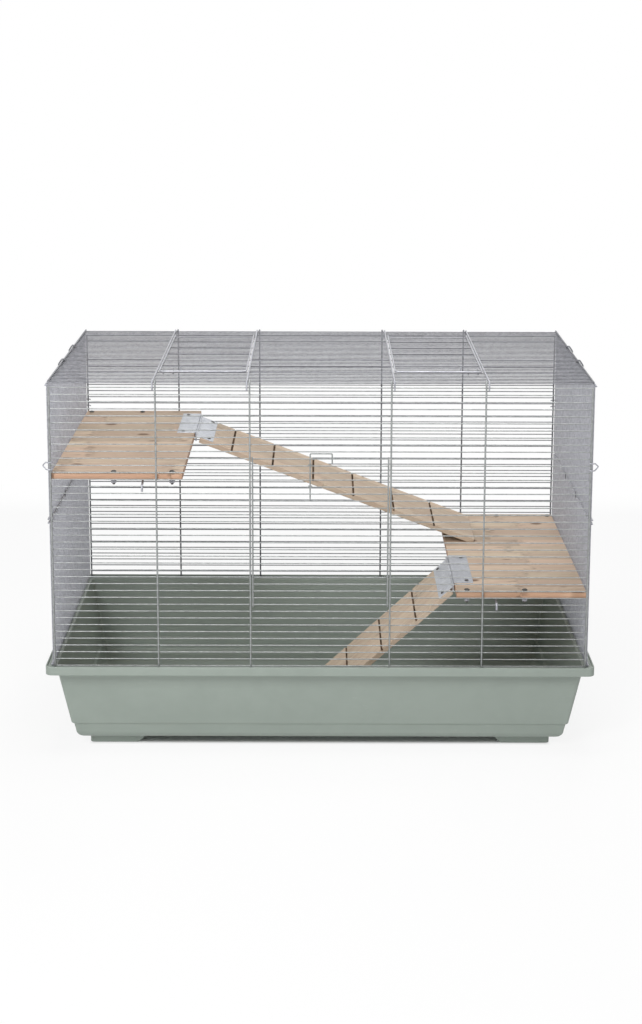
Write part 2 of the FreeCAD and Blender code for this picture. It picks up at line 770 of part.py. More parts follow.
def main():
    os.makedirs("parts", exist_ok=True)
    export("tray", tray())
    export("front_panel", face_panel(-1, True))
    export("back_panel", face_panel(1, False))
    export("roof_panel", roof_panel())
    for name, side in (("left", -1), ("right", 1)):
        export(name + "_lower_panel", lower_side_panel(side))
        export(name + "_upper_panel", upper_side_panel(side))
        export(name + "_panel_rings", panel_rings(side))
        export(name + "_roof_door", roof_door(side))
        export(name + "_roof_latch", roof_latch(side))
    export("front_corner_clips", corner_clips(-1))
    export("back_corner_clips", corner_clips(1))
    export("front_door", front_door())
    export("front_latch", front_latch())
    levels = (("upper", upper_side, upper_shelf_row, upper_ramp_y, True),
              ("lower", lower_side, lower_shelf_row, lower_ramp_y, False))
    for name, side, row, ramp_y, upper in levels:
        angle = ramp_slope(upper)[0]
        export(name + "_shelf", shelf(side, row, ramp_y))
        export(name + "_shelf_brackets", shelf_brackets(side, row))
        export(name + "_shelf_bolts", shelf_bolts(side, row))
        export(name + "_shelf_nuts", shelf_nuts(side, row))
        export(name + "_shelf_leaf", on_shelf_side(shelf_leaf(), upper))
        export(name + "_shelf_leaf_screws", on_shelf_side(leaf_screws(shelf_leaf_top), upper))
        export(name + "_hinge_pin", front_tail(hinge_pin(), upper))
        export(name + "_ramp", ramp(upper))
        export(name + "_ramp_leaf", at_hinge(ramp_leaf(), upper, angle))
        export(name + "_ramp_leaf_screws", at_hinge(leaf_screws(ramp_leaf_top), upper, angle))


main()
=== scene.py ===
# %% [markdown]
# # A rat cage of welded wire on a moulded tray
# The real cage is a plastic tub with five wire panels hooked together on its rim.
# Inside hang two pine shelves, joined by two ramps on sheet-metal hinges.
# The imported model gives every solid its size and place, so it is loaded first and never moved.
# Each later step lays a rounder, better finished piece over one of those solids.

# %% Load the fixed frame
import bpy
import numpy as np
from mathutils import Matrix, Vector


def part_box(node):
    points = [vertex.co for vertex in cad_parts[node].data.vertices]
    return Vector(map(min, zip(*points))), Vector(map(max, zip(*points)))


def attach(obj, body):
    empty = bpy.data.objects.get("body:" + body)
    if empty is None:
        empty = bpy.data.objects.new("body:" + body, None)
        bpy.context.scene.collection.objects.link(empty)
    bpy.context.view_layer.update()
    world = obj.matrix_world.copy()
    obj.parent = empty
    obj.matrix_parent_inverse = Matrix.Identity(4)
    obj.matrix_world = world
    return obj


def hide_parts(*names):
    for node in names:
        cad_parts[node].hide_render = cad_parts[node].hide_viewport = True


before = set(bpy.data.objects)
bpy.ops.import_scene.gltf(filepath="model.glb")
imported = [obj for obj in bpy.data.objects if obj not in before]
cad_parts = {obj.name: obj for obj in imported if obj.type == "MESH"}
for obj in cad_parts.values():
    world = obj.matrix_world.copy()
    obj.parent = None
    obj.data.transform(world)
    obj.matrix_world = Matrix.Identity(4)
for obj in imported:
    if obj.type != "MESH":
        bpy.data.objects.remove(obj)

MM = 0.001
X, Y, Z = np.eye(3)
ASIDE, UP = np.eye(2)
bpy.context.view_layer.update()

# %% [markdown]
# ## Skins from grids of points
# Wire, board and tub are all surfaces with two parameters: how far along, and how far round.
# They could be modelled by hand with extrude and bevel, but a cage has hundreds of equal wires.
# A numpy grid holds all the points of all the equal pieces at once, and one rule joins them into faces.


# %% Join a grid of points into faces
def unit(vectors):
    """Each vector divided by its own length."""
    return vectors / np.linalg.norm(vectors, axis=-1, keepdims=True)


def skin(grids, ring_closed=True, path_closed=False, caps=True):
    """Faces over equal grids of points, shaped (count, rows, ring, 3).

    Point (row, k) is joined to (row, k + 1), (row + 1, k + 1) and (row + 1, k).
    A cap closes the first and the last ring of each grid.
    """
    grids = np.asarray(grids, float)
    grids = grids.reshape((-1,) + grids.shape[-3:])
    count, rows, ring = grids.shape[:3]
    row, k = np.indices((rows if path_closed else rows - 1, ring if ring_closed else ring - 1))
    far, beside = (row + 1) % rows, (k + 1) % ring
    quads = np.stack([row * ring + k, row * ring + beside, far * ring + beside, far * ring + k], -1)
    start = np.arange(count)[:, None, None] * rows * ring
    faces = [(quads.reshape(1, -1, 4) + start).reshape(-1, 4)]
    if caps:
        ends = np.stack([np.arange(ring)[::-1], np.arange(ring) + (rows - 1) * ring])
        faces.append((ends[None] + start).reshape(-1, ring))
    return grids.reshape(-1, 3), faces


# %% Put skins into one mesh and tie it to the frame
def piece(name, skins, finishes, body, nodes, sharp=35.0, lead=None):
    """One mesh from several skins in millimetres; it rides on a body and stands for CAD nodes.

    The lead skins, or all of them, take the first finish and the rest take the second.
    """
    points, corners, sizes, picks, start = [], [], [], [], 0
    for number, (grid, groups) in enumerate(skins):
        for faces in groups:
            corners.append((faces + start).ravel())
            sizes.append(np.full(len(faces), faces.shape[1]))
            picks.append(np.full(len(faces), int(lead is not None and number >= lead)))
        points.append(grid)
        start += len(grid)
    points, corners = np.concatenate(points) * MM, np.concatenate(corners)
    sizes, picks = np.concatenate(sizes), np.concatenate(picks)
    mesh = bpy.data.meshes.new(name)
    mesh.vertices.add(len(points))
    mesh.vertices.foreach_set("co", points.astype(np.float32).ravel())
    mesh.loops.add(len(corners))
    mesh.loops.foreach_set("vertex_index", corners.astype(np.int32))
    mesh.polygons.add(len(sizes))
    mesh.polygons.foreach_set("loop_start", (np.cumsum(sizes) - sizes).astype(np.int32))
    mesh.polygons.foreach_set("material_index", picks.astype(np.int32))
    mesh.polygons.foreach_set("use_smooth", np.ones(len(sizes), bool))
    mesh.update(calc_edges=True)
    mesh.validate()
    mesh.set_sharp_from_angle(angle=np.radians(sharp))
    for finish in finishes:
        mesh.materials.append(finish)
    made = bpy.data.objects.new(name, mesh)
    bpy.context.scene.collection.objects.link(made)
    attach(made, body)
    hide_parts(*nodes)
    lows, highs = zip(*(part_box(node) for node in nodes))
    outside = max(np.max(np.min(lows, 0) - points.min(0)), np.max(points.max(0) - np.max(highs, 0)))
    print(f"{name}: {len(sizes)} faces, {outside / MM:+.2f} mm past its CAD box")
    return made


# %% [markdown]
# ## Lines to carry a profile along
# Every bent wire is a line made of straight runs, arcs and eased corners.
# A curve object could draw these, but arrays keep the whole cage in one way of working.


# %% Points, arcs and eased corners
def at(x, y, z):
    """All points whose coordinates are given as numbers or arrays of one length."""
    return np.stack(np.broadcast_arrays(x, y, z), -1).astype(float).reshape(-1, 3)


def arc(centre, radius, first, second, start, sweep, steps=20):
    """Points centre + r (cos a first + sin a second), with a from start through sweep, in degrees."""
    a = np.radians(start + sweep * np.linspace(0, 1, steps + 1))[:, None]
    return np.asarray(centre, float) + radius * (np.cos(a) * first + np.sin(a) * second)


def eased(points, radius, steps=5):
    """A broken line with round corners.

    Each corner p becomes (1 - t)^2 a + 2 t (1 - t) p + t^2 b, with a and b up to radius from p.
    """
    p = np.asarray(points, float)
    back, ahead = p[:-2] - p[1:-1], p[2:] - p[1:-1]
    room = 0.45 * np.minimum(np.linalg.norm(back, axis=1), np.linalg.norm(ahead, axis=1))
    reach = np.minimum(radius, room)[:, None]
    a, b = p[1:-1] + reach * unit(back), p[1:-1] + reach * unit(ahead)
    t = np.linspace(0, 1, steps + 1)[None, :, None]
    bends = (1 - t) ** 2 * a[:, None] + 2 * t * (1 - t) * p[1:-1, None] + t ** 2 * b[:, None]
    return np.concatenate([p[:1], bends.reshape(-1, p.shape[1]), p[-1:]])


print("an eye of wire takes", len(arc((0, 0, 0), 3.6, Y, Z, 0, 270)), "points")

# %% [markdown]
# ## Round wire
# Cage wire is drawn steel, cut to length, bent and spot-welded where it crosses.
# A circle is carried along each line, and its end rings are drawn in a little, as cropped ends are.
# A weld is a flat bead of metal that has flowed between two crossing wires.

# %% Carry a circle along a line, and turn a profile about an axis
CROPPED = 0.6


def ring_frame(along, up):
    """Two directions square to along: side = up x along, and lift = along x side."""
    side = unit(np.cross(up, along))
    return side, np.cross(along, side)


def wires(paths, radius, up, sides=12, closed=False):
    """Round wire on equal paths: ring point = path point + r (cos a side + sin a lift)."""
    paths = np.asarray(paths, float)
    paths = paths.reshape((-1,) + paths.shape[-2:])
    if closed:
        ahead = unit(np.roll(paths, -1, axis=1) - paths)
        along = unit(ahead + np.roll(ahead, 1, axis=1))
        radii = np.full(paths.shape[1], radius)
    else:
        first, last = unit(paths[:, 1:2] - paths[:, :1]), unit(paths[:, -1:] - paths[:, -2:-1])
        crop = radius * (1 - CROPPED)
        start = [paths[:, :1], paths[:, :1] + crop * first]
        end = [paths[:, -1:] - crop * last, paths[:, -1:]]
        paths = np.concatenate(start + [paths[:, 1:-1]] + end, axis=1)
        runs = unit(np.diff(paths, axis=1))
        along = unit(np.concatenate([runs[:, :1], runs[:, :-1] + runs[:, 1:], runs[:, -1:]], axis=1))
        radii = np.full(paths.shape[1], radius)
        radii[[0, -1]] *= CROPPED
    side, lift = ring_frame(along, up)
    a = (2 * np.pi * (np.arange(sides) + 0.5) / sides)[:, None]
    circle = np.cos(a) * side[:, :, None] + np.sin(a) * lift[:, :, None]
    rings = paths[:, :, None] + radii[None, :, None, None] * circle
    return skin(rings, path_closed=closed, caps=not closed)


def straight(starts, ends, radius, up):
    """Straight round wires between rows of points."""
    return wires(np.stack(np.broadcast_arrays(starts, ends), axis=1), radius, up)


def turned(centres, profile, axis, up, sides):
    """A profile of (radius, height) turned about an axis at each centre."""
    radius, height = np.asarray(profile, float).T
    side, lift = ring_frame(axis, up)
    a = (2 * np.pi * np.arange(sides) / sides)[:, None]
    ring = radius[:, None, None] * (np.cos(a) * side + np.sin(a) * lift)
    rings = ring + height[:, None, None] * axis
    return skin(np.asarray(centres, float)[:, None, None] + rings)


WELD = [(0.5, -0.75), (1.55, 0.0), (0.5, 0.75)]


def welds(xs, ys, zs, axis, up):
    """A flat bead, with the profile WELD, at every crossing of a grid of places."""
    places = np.stack(np.meshgrid(xs, ys, zs, indexing="ij"), -1).reshape(-1, 3)
    return turned(places, WELD, axis, up, 6)


# %% [markdown]
# ## Nodes in few words
# Materials are trees of nodes. Short helpers add a node with its inputs, and others are built on that one.
# Groups hold the effects that several finishes share; each puts out colours, masks and heights only.


# %% Add a node, and reckon with values
def add(tree, kind, inputs=None, **settings):
    """A new node with its settings, and each input linked to a socket or set to a value."""
    made = tree.nodes.new(kind)
    for name, value in settings.items():
        setattr(made, name, value)
    for name, value in (inputs or {}).items():
        if isinstance(value, bpy.types.NodeSocket):
            tree.links.new(value, made.inputs[name])
        else:
            made.inputs[name].default_value = value
    return made


def maths(tree, operation, a, b=0.0):
    """A Math node's result."""
    return add(tree, "ShaderNodeMath", {0: a, 1: b}, operation=operation).outputs[0]


def times(tree, a, b):
    """The product of two values."""
    return maths(tree, "MULTIPLY", a, b)


def weighed(tree, a, a_share, b, b_share):
    """The sum of two values, each times its share."""
    return maths(tree, "ADD", times(tree, a, a_share), times(tree, b, b_share))


# %% Colours, ranges, vectors and noise
def blend(tree, factor, a, b, how="MIX"):
    """A colour between a and b."""
    inputs = {0: factor, 6: a, 7: b}
    return add(tree, "ShaderNodeMix", inputs, data_type="RGBA", blend_type=how).outputs[2]


def ramp_to(tree, value, low, high, to_low=0.0, to_high=1.0):
    """A value taken smoothly from one range to another."""
    inputs = {"Value": value, "From Min": low, "From Max": high, "To Min": to_low, "To Max": to_high}
    return add(tree, "ShaderNodeMapRange", inputs, interpolation_type="SMOOTHSTEP").outputs[0]


def scaled(tree, vector, factors):
    """A vector times three factors."""
    return add(tree, "ShaderNodeVectorMath", {0: vector, 1: factors}, operation="MULTIPLY").outputs[0]


def noise(tree, vector, scale, detail=3.0):
    """A Noise Texture's value."""
    inputs = {"Vector": vector, "Scale": scale, "Detail": detail}
    return add(tree, "ShaderNodeTexNoise", inputs).outputs["Fac"]


# %% Open a group, and write a colour
def group(name, inputs, outputs):
    """A node group with named sockets; gives the tree and the sockets inside it."""
    tree = bpy.data.node_groups.new(name, "ShaderNodeTree")
    for label, kind in inputs.items():
        tree.interface.new_socket(label, in_out="INPUT", socket_type="NodeSocket" + kind)
    for label, kind in outputs.items():
        tree.interface.new_socket(label, in_out="OUTPUT", socket_type="NodeSocket" + kind)
    return tree, tree.nodes.new("NodeGroupInput").outputs, tree.nodes.new("NodeGroupOutput").inputs


def paint(red, green, blue):
    """A colour given as it looks on a screen, 0 to 255, as the linear values that Blender takes."""
    c = np.array([red, green, blue]) / 255
    linear = np.where(c <= 0.04045, c / 12.92, ((c + 0.055) / 1.055) ** 2.4)
    return (*linear.tolist(), 1.0)


# %% [markdown]
# ## Shared effects
# Mottle is the cloudy change of tone in zinc and in moulded plastic.
# Scuffs are the short pale rubs that handling leaves.
# Each is built once as a group, with the scale and colours left open for the finish that uses it.

# %% Mottle and scuffs
mottle, taken, given = group(
    "mottle", {"Vector": "Vector", "Scale": "Float", "Dark": "Color", "Light": "Color"},
    {"Color": "Color", "Value": "Float"})
coarse = noise(mottle, taken["Vector"], taken["Scale"], 4.0)
fine = noise(mottle, taken["Vector"], times(mottle, taken["Scale"], 7.0))
tone = ramp_to(mottle, weighed(mottle, coarse, 0.6, fine, 0.4), 0.36, 0.64)
mottle.links.new(tone, given["Value"])
mottle.links.new(blend(mottle, tone, taken["Dark"], taken["Light"]), given["Color"])

scuffs, taken, given = group(
    "scuffs", {"Vector": "Vector", "Scale": "Float", "Lean": "Vector"}, {"Mask": "Float"})
rubs = noise(scuffs, scaled(scuffs, taken["Vector"], taken["Lean"]), taken["Scale"], 5.0)
patches = noise(scuffs, taken["Vector"], 9.0, 2.0)
worn = times(scuffs, ramp_to(scuffs, rubs, 0.58, 0.72), ramp_to(scuffs, patches, 0.48, 0.66))
scuffs.links.new(worn, given["Mask"])
print("groups:", [g.name for g in bpy.data.node_groups])

# %% [markdown]
# ## Pine
# The shelves are made of narrow staves, glued edge to edge, with toothed joints between short blocks.
# Each block has its own tone, growth rings drawn out along the grain, fine fibres and perhaps a knot.
# The rings are contour lines of a noise field that is stretched along the grain, as a saw opens them.
# An image would be quicker, but nodes stay sharp at any distance and belong to the part.

# %% The pine group: staves and blocks
TOOTH_HALF, TOOTH_SLOPE, MOST_STAGGER = 0.003, 2.5, 0.35
pine, taken, given = group(
    "pine_boards",
    {"Vector": "Vector", "Stave": "Float", "Block": "Float", "Knots": "Float",
     "Pale": "Color", "Ring": "Color", "Warm": "Color"},
    {"Color": "Color", "Roughness": "Float", "Height": "Float"})
along_grain = add(pine, "ShaderNodeSeparateXYZ", {0: taken["Vector"]}).outputs
stave = maths(pine, "FLOOR", maths(pine, "DIVIDE", along_grain["Y"], taken["Stave"]))
stagger = add(pine, "ShaderNodeTexWhiteNoise", {"W": stave}, noise_dimensions="1D").outputs["Value"]
teeth = times(pine, maths(pine, "PINGPONG", along_grain["Y"], TOOTH_HALF), TOOTH_SLOPE)
staggered = times(pine, stagger, times(pine, taken["Block"], MOST_STAGGER))
jointed = maths(pine, "ADD", maths(pine, "ADD", along_grain["X"], staggered), teeth)
block = maths(pine, "FLOOR", maths(pine, "DIVIDE", jointed, taken["Block"]))
address = add(pine, "ShaderNodeCombineXYZ", {"X": block, "Y": stave}).outputs[0]
chance = add(pine, "ShaderNodeTexWhiteNoise", {"Vector": address}, noise_dimensions="3D").outputs
lots = add(pine, "ShaderNodeSeparateColor", {0: chance["Color"]}).outputs
print("staves and blocks:", len(pine.nodes), "nodes")

# %% The pine group: knots, rings and fibres
BLOCK_SHIFT, KNOT_CELLS, KNOT_ODDS = (3.1, 2.3, 1.7), (11.0, 15.0, 1.0), (0.72, 0.74)
KNOT_EDGE, SWIRL_EDGE, SWIRL_PUSH, RING_WAVES = (0.17, 0.07), (0.45, 0.0), 0.16, 62.0
RING_GRAIN, FIBRE_GRAIN, STREAK_GRAIN = (2.2, 17.0, 17.0), (26.0, 700.0, 700.0), (5.0, 95.0, 95.0)
own_place = scaled(pine, chance["Color"], BLOCK_SHIFT)
spot = add(pine, "ShaderNodeVectorMath", {0: taken["Vector"], 1: own_place}, operation="ADD").outputs[0]
cell_inputs = {"Vector": scaled(pine, spot, KNOT_CELLS), "Scale": 1.0}
knot_cells = add(pine, "ShaderNodeTexVoronoi", cell_inputs, voronoi_dimensions="2D").outputs
rare = add(pine, "ShaderNodeSeparateColor", {0: knot_cells["Color"]}).outputs[0]
chosen = times(pine, ramp_to(pine, rare, *KNOT_ODDS), taken["Knots"])
knot = times(pine, ramp_to(pine, knot_cells["Distance"], *KNOT_EDGE), chosen)
swirl = times(pine, ramp_to(pine, knot_cells["Distance"], *SWIRL_EDGE), chosen)
field = noise(pine, scaled(pine, spot, RING_GRAIN), 1.0, 1.5)
bent = maths(pine, "ADD", field, times(pine, swirl, SWIRL_PUSH))
wave = maths(pine, "SINE", times(pine, bent, RING_WAVES))
rings = maths(pine, "ADD", times(pine, wave, 0.5), 0.5)
fibres = noise(pine, scaled(pine, spot, FIBRE_GRAIN), 1.0, 3.0)
streaks = noise(pine, scaled(pine, spot, STREAK_GRAIN), 1.0, 3.0)
print("with knots, rings and fibres:", len(pine.nodes), "nodes")

# %% The pine group: joints and the wood's colour
KNOT_BROWN, JOINT_BROWN, SMUDGE_BROWN = paint(106, 76, 52), paint(120, 92, 70), paint(98, 76, 60)
SMUDGE_GRAIN = (55.0, 110.0, 110.0)
from_edge = maths(pine, "PINGPONG", along_grain["Y"], times(pine, taken["Stave"], 0.5))
from_butt = maths(pine, "PINGPONG", jointed, times(pine, taken["Block"], 0.5))
edge_line, butt_line = ramp_to(pine, from_edge, 0.0009, 0.0002), ramp_to(pine, from_butt, 0.0008, 0.0002)
joint = maths(pine, "MAXIMUM", edge_line, butt_line)
figure = weighed(pine, rings, 0.42, ramp_to(pine, streaks, 0.35, 0.7), 0.5)
wood = blend(pine, figure, taken["Pale"], taken["Ring"])
wood = blend(pine, times(pine, lots["Red"], 0.75), wood, taken["Warm"])
shade = ramp_to(pine, lots["Green"], 0.0, 1.0, 0.83, 1.12)
shade = times(pine, shade, ramp_to(pine, fibres, 0.3, 0.7, 0.93, 1.05))
shade_colour = add(pine, "ShaderNodeCombineColor", {0: shade, 1: shade, 2: shade}).outputs[0]
wood = blend(pine, 1.0, wood, shade_colour, "MULTIPLY")
wood = blend(pine, times(pine, knot, 0.9), wood, KNOT_BROWN)
wood = blend(pine, times(pine, joint, 0.45), wood, JOINT_BROWN)
smudges = ramp_to(pine, noise(pine, scaled(pine, spot, SMUDGE_GRAIN), 1.0, 2.0), 0.5, 0.66)
smudge = times(pine, smudges, ramp_to(pine, from_butt, 0.03, 0.002))
wood = blend(pine, times(pine, smudge, 0.5), wood, SMUDGE_BROWN)

# %% The pine group: what it puts out
pine.links.new(wood, given["Color"])
pine.links.new(ramp_to(pine, fibres, 0.2, 0.8, 0.52, 0.7), given["Roughness"])
relief = weighed(pine, rings, 0.5, fibres, 0.6)
pine.links.new(maths(pine, "SUBTRACT", relief, joint), given["Height"])
print("whole pine group:", len(pine.nodes), "nodes")

# %% [markdown]
# ## Finishes
# Each finish is a material with its own Principled shader.
# Groups feed its colour, roughness and bump; what is the same all over is set on the shader itself.


# %% Open a material
def finish(name, **constants):
    """A material, its tree, its shader and Object coordinates."""
    made = bpy.data.materials.new(name)
    made.use_nodes = True
    tree = made.node_tree
    shader = tree.nodes["Principled BSDF"]
    for label, value in constants.items():
        shader.inputs[label.replace("_", " ")].default_value = value
    return made, tree, shader, tree.nodes.new("ShaderNodeTexCoord").outputs["Object"]


def use(tree, group_tree, inputs):
    """A group placed in a material; gives its outputs."""
    return add(tree, "ShaderNodeGroup", inputs, node_tree=group_tree).outputs


def bump(tree, shader, height, distance, strength=1.0):
    """Height into the shader's normal, with the distance in metres."""
    made = add(tree, "ShaderNodeBump", {"Height": height, "Distance": distance, "Strength": strength})
    tree.links.new(made.outputs[0], shader.inputs["Normal"])


# %% Zinc wire, in darker copies that paint shade, and zinc fasteners
def zinc(name, dark, light, scale, low, high, metallic):
    """Plated steel: cloudy tone, roughness between low and high, and a fine crystalline bump."""
    made, tree, shader, place = finish(name, Metallic=metallic)
    cloud = use(tree, mottle, {"Vector": place, "Scale": scale, "Dark": dark, "Light": light})
    tree.links.new(cloud["Color"], shader.inputs["Base Color"])
    tree.links.new(ramp_to(tree, cloud["Value"], 0.0, 1.0, high, low), shader.inputs["Roughness"])
    bump(tree, shader, noise(tree, place, 1800.0, 2.0), 0.00004)
    return made


# All the wire is one zinc. The first copy here is the shaded copy: it paints the shade on the back panel,
# the roof rows, the rings and the hatch rows. The third is the front copy, a little darker than the second,
# and it paints shade on the brightly lit front panel, its door and its latch.
zinc_shaded_copy = zinc("zinc_shaded_copy", paint(104, 105, 110), paint(130, 131, 136), 140.0, 0.3, 0.46, 0.65)
zinc_wire = zinc("zinc_wire", paint(160, 161, 168), paint(188, 189, 196), 140.0, 0.3, 0.42, 0.5)
zinc_front_shaded_copy = zinc("zinc_front_shaded_copy", paint(139, 142, 142), paint(165, 168, 168), 140.0, 0.3, 0.42, 0.5)
zinc_bolt = zinc("zinc_bolt", paint(58, 55, 52), paint(88, 84, 80), 90.0, 0.35, 0.55, 0.4)


# %% Galvanised sheet, in a lit copy and a shaded copy
def galvanised(name, dark, light):
    """Hot-dipped sheet: cloudy tone, and spangles whose gloss differs from one to the next."""
    made, tree, shader, place = finish(name, Metallic=0.65)
    spangle = add(tree, "ShaderNodeTexVoronoi", {"Vector": place, "Scale": 130.0})
    facet = add(tree, "ShaderNodeSeparateColor", {0: spangle.outputs["Color"]}).outputs[0]
    cloud = use(tree, mottle, {"Vector": place, "Scale": 40.0, "Dark": dark, "Light": light})
    frosted = blend(tree, times(tree, facet, 0.3), cloud["Color"], dark)
    tree.links.new(frosted, shader.inputs["Base Color"])
    tree.links.new(ramp_to(tree, facet, 0.0, 1.0, 0.28, 0.5), shader.inputs["Roughness"])
    bump(tree, shader, noise(tree, place, 900.0, 2.0), 0.00005)
    return made


# One sheet in two copies: the first paints light on the upper leaves and the lower ramp leaf, and the
# second paints shade on the lower fold leaf.
sheet_lit_copy = galvanised("galvanised_lit_copy", paint(180, 183, 190), paint(206, 209, 215))
sheet_shaded_copy = galvanised("galvanised_shaded_copy", paint(150, 152, 158), paint(174, 176, 182))

# %% Moulded plastic
plastic, tree, shader, place = finish("sage_plastic", Specular_IOR_Level=0.45)
sage = {"Dark": paint(151, 161, 153), "Light": paint(156, 166, 158)}
cloud = use(tree, mottle, {"Vector": place, "Scale": 5.0, **sage})
rub = use(tree, scuffs, {"Vector": place, "Scale": 60.0, "Lean": (1.0, 1.0, 5.0)})["Mask"]
rubbed = blend(tree, times(tree, rub, 0.18), cloud["Color"], paint(188, 195, 188))
tree.links.new(rubbed, shader.inputs["Base Color"])
satin = ramp_to(tree, cloud["Value"], 0.0, 1.0, 0.4, 0.5)
tree.links.new(maths(tree, "ADD", satin, times(tree, rub, 0.15)), shader.inputs["Roughness"])
bump(tree, shader, noise(tree, place, 700.0, 3.0), 0.00006)


# %% Pine faces, pine edges and sawn cuts with painted shade
def pine_finish(name, stave_width, block_length, knots, pale, ring, warm, slope=0.0, shift=0.0):
    """Pine whose grain runs along X, turned by a ramp's slope in degrees."""
    made, tree, shader, place = finish(name, Specular_IOR_Level=0.3)
    turn = {"Rotation": (0.0, np.radians(slope), 0.0), "Location": (shift, shift, shift)}
    grain = add(tree, "ShaderNodeMapping", {"Vector": place, **turn}).outputs[0]
    sizes = {"Stave": stave_width, "Block": block_length, "Knots": knots}
    tones = {"Pale": pale, "Ring": ring, "Warm": warm}
    boards = use(tree, pine, {"Vector": grain, **sizes, **tones})
    tree.links.new(boards["Color"], shader.inputs["Base Color"])
    tree.links.new(boards["Roughness"], shader.inputs["Roughness"])
    bump(tree, shader, boards["Height"], 0.0002, 0.6)
    return made


face_tones = paint(208, 192, 170), paint(182, 159, 136), paint(206, 178, 157)
edge_tones = paint(214, 182, 154), paint(178, 138, 110), paint(206, 162, 136)
ramp_tones = paint(219, 203, 181), paint(200, 176, 153), paint(217, 192, 170)
SHELF_STAVE, SHELF_BLOCK, SHELF_SHIFT, MANY_KNOTS, FEW_KNOTS = 0.042, 0.21, 0.013, 1.0, 0.3
RAMP_STAVE, RAMP_BLOCK, RAMP_SHIFTS = 0.1, 0.9, {"upper": 0.1, "lower": 0.31}
shelf_face = pine_finish("pine_shelf", SHELF_STAVE, SHELF_BLOCK, MANY_KNOTS, *face_tones, shift=SHELF_SHIFT)
shelf_edge = pine_finish("pine_shelf_edge", SHELF_STAVE, SHELF_BLOCK, FEW_KNOTS, *edge_tones,
                         shift=SHELF_SHIFT)
# The dark brown here paints the shade that falls inside the saw cuts.
sawn, tree, shader, place = finish("sawn_cut_painted_shade", Roughness=0.9, Specular_IOR_Level=0.1)
cut_shade_tones = {"Dark": paint(52, 40, 32), "Light": paint(128, 104, 82)}
cut_shade = use(tree, mottle, {"Vector": place, "Scale": 60.0, **cut_shade_tones})
tree.links.new(cut_shade["Color"], shader.inputs["Base Color"])
made_here = ("zinc", "galvanised", "sage", "pine", "sawn")
print("finishes:", [m.name for m in bpy.data.materials if m.name.startswith(made_here)])

# %% [markdown]
# ## The wire panels
# The front and back panels are level rows on six uprights; the tops of four uprights curl into eyes.
# The roof's edge wire turns in those eyes, and the roof's own struts are bent down over the top rows.
# The side walls are two halves of close uprights, which the rings join, so the cage packs flat.
# An array modifier could repeat one wire, but rows that stop at a door need their own ends.

# %% Places of the rows and struts
FIELD_R, STRUT_R, SIDES, WALLS = 1.0, 1.6, (-1, 1), {"left": -1, "right": 1}
TRAY_TOP, PITCH, ROWS = 173.5, 12.95, 41
FOOT_Z = TRAY_TOP - 2.7
ROW_Z = FOOT_Z + 1.5 + PITCH * np.arange(ROWS)
ROOF_Z = ROW_Z[-1] + 8.3
ROOF_STRUT_Z = ROOF_Z + FIELD_R + STRUT_R
ROOF_Y = np.linspace(-257.8127, 257.8127, ROWS)
ROW_Y, STRUT_Y, FACE_WELD_Y = 258.8, 261.4, 259.8
ROW_END, END_STRUT, EYE_R = 484.386, 482.786, 3.587
SIDE_X, SIDE_STRUT_X, SIDE_WELD_X = 486.3, 488.9, 487.3
STRUT_XS = np.array([-294.0, -126.2, 126.2, 294.0])
ROOF_STRUT_XS = STRUT_XS + 5.0 * np.sign(STRUT_XS)
CUT_X = STRUT_XS[2] - STRUT_R
HINGE_ROW, LATCH_ROW = 9, 31
DOOR_ROWS = np.arange(HINGE_ROW + 1, LATCH_ROW)
OTHER_ROWS = np.setdiff1d(np.arange(ROWS), DOOR_ROWS)
print("row pitch", np.diff(ROW_Z)[0].round(2), "mm, roof pitch", np.diff(ROOF_Y)[0].round(2), "mm")


# %% Front and back panels
def eye_upright(x, side):
    """Straight from the tray to the roof, then three quarters of a turn about the roof's edge wire."""
    eye = arc((x, side * ROOF_Y[-1], ROOF_Z), EYE_R, side * Y, Z, 0, 270)
    return np.vstack([(x, side * STRUT_Y, FOOT_Z), eye])


def face_panel(side, with_door):
    """Rows, uprights, eyes and welds of one long panel."""
    y = side * ROW_Y
    ends = np.array([-END_STRUT, END_STRUT])
    foot, top = at(ends, side * STRUT_Y, FOOT_Z), at(ends, side * STRUT_Y, ROW_Z[-1] + STRUT_R)
    skins = [wires([eye_upright(x, side) for x in STRUT_XS], STRUT_R, X),
             straight(foot, top, STRUT_R, X)]
    whole = ROW_Z[OTHER_ROWS] if with_door else ROW_Z
    skins.append(straight(at(-ROW_END, y, whole), at(ROW_END, y, whole), FIELD_R, Z))
    if with_door:
        cut = ROW_Z[DOOR_ROWS]
        skins += [straight(at(s * CUT_X, y, cut), at(s * ROW_END, y, cut), FIELD_R, Z) for s in SIDES]
    skins.append(welds(np.concatenate([STRUT_XS, ends]), [side * FACE_WELD_Y], ROW_Z, Y, X))
    return skins


# The front grille takes the front copy of the zinc and the back grille the shaded copy: both are painted
# shade.
piece("front_grille", face_panel(-1, True), [zinc_front_shaded_copy], "cage_top", ["front_panel"])
piece("back_grille", face_panel(1, False), [zinc_shaded_copy], "cage_top", ["back_panel"])

# %% Side walls in two halves
SIDE_REACH, WELD_REACH = 259.2, 257.6


def side_half(side, low, high, strut_zs):
    """Close uprights on two long wires."""
    x, long_x = side * SIDE_X, side * SIDE_STRUT_X
    return [straight(at(long_x, -SIDE_REACH, strut_zs), at(long_x, SIDE_REACH, strut_zs), STRUT_R, Z),
            straight(at(x, ROOF_Y, low), at(x, ROOF_Y, high), FIELD_R, Y),
            welds([side * SIDE_WELD_X], np.clip(ROOF_Y, -WELD_REACH, WELD_REACH), strut_zs, X, Z)]


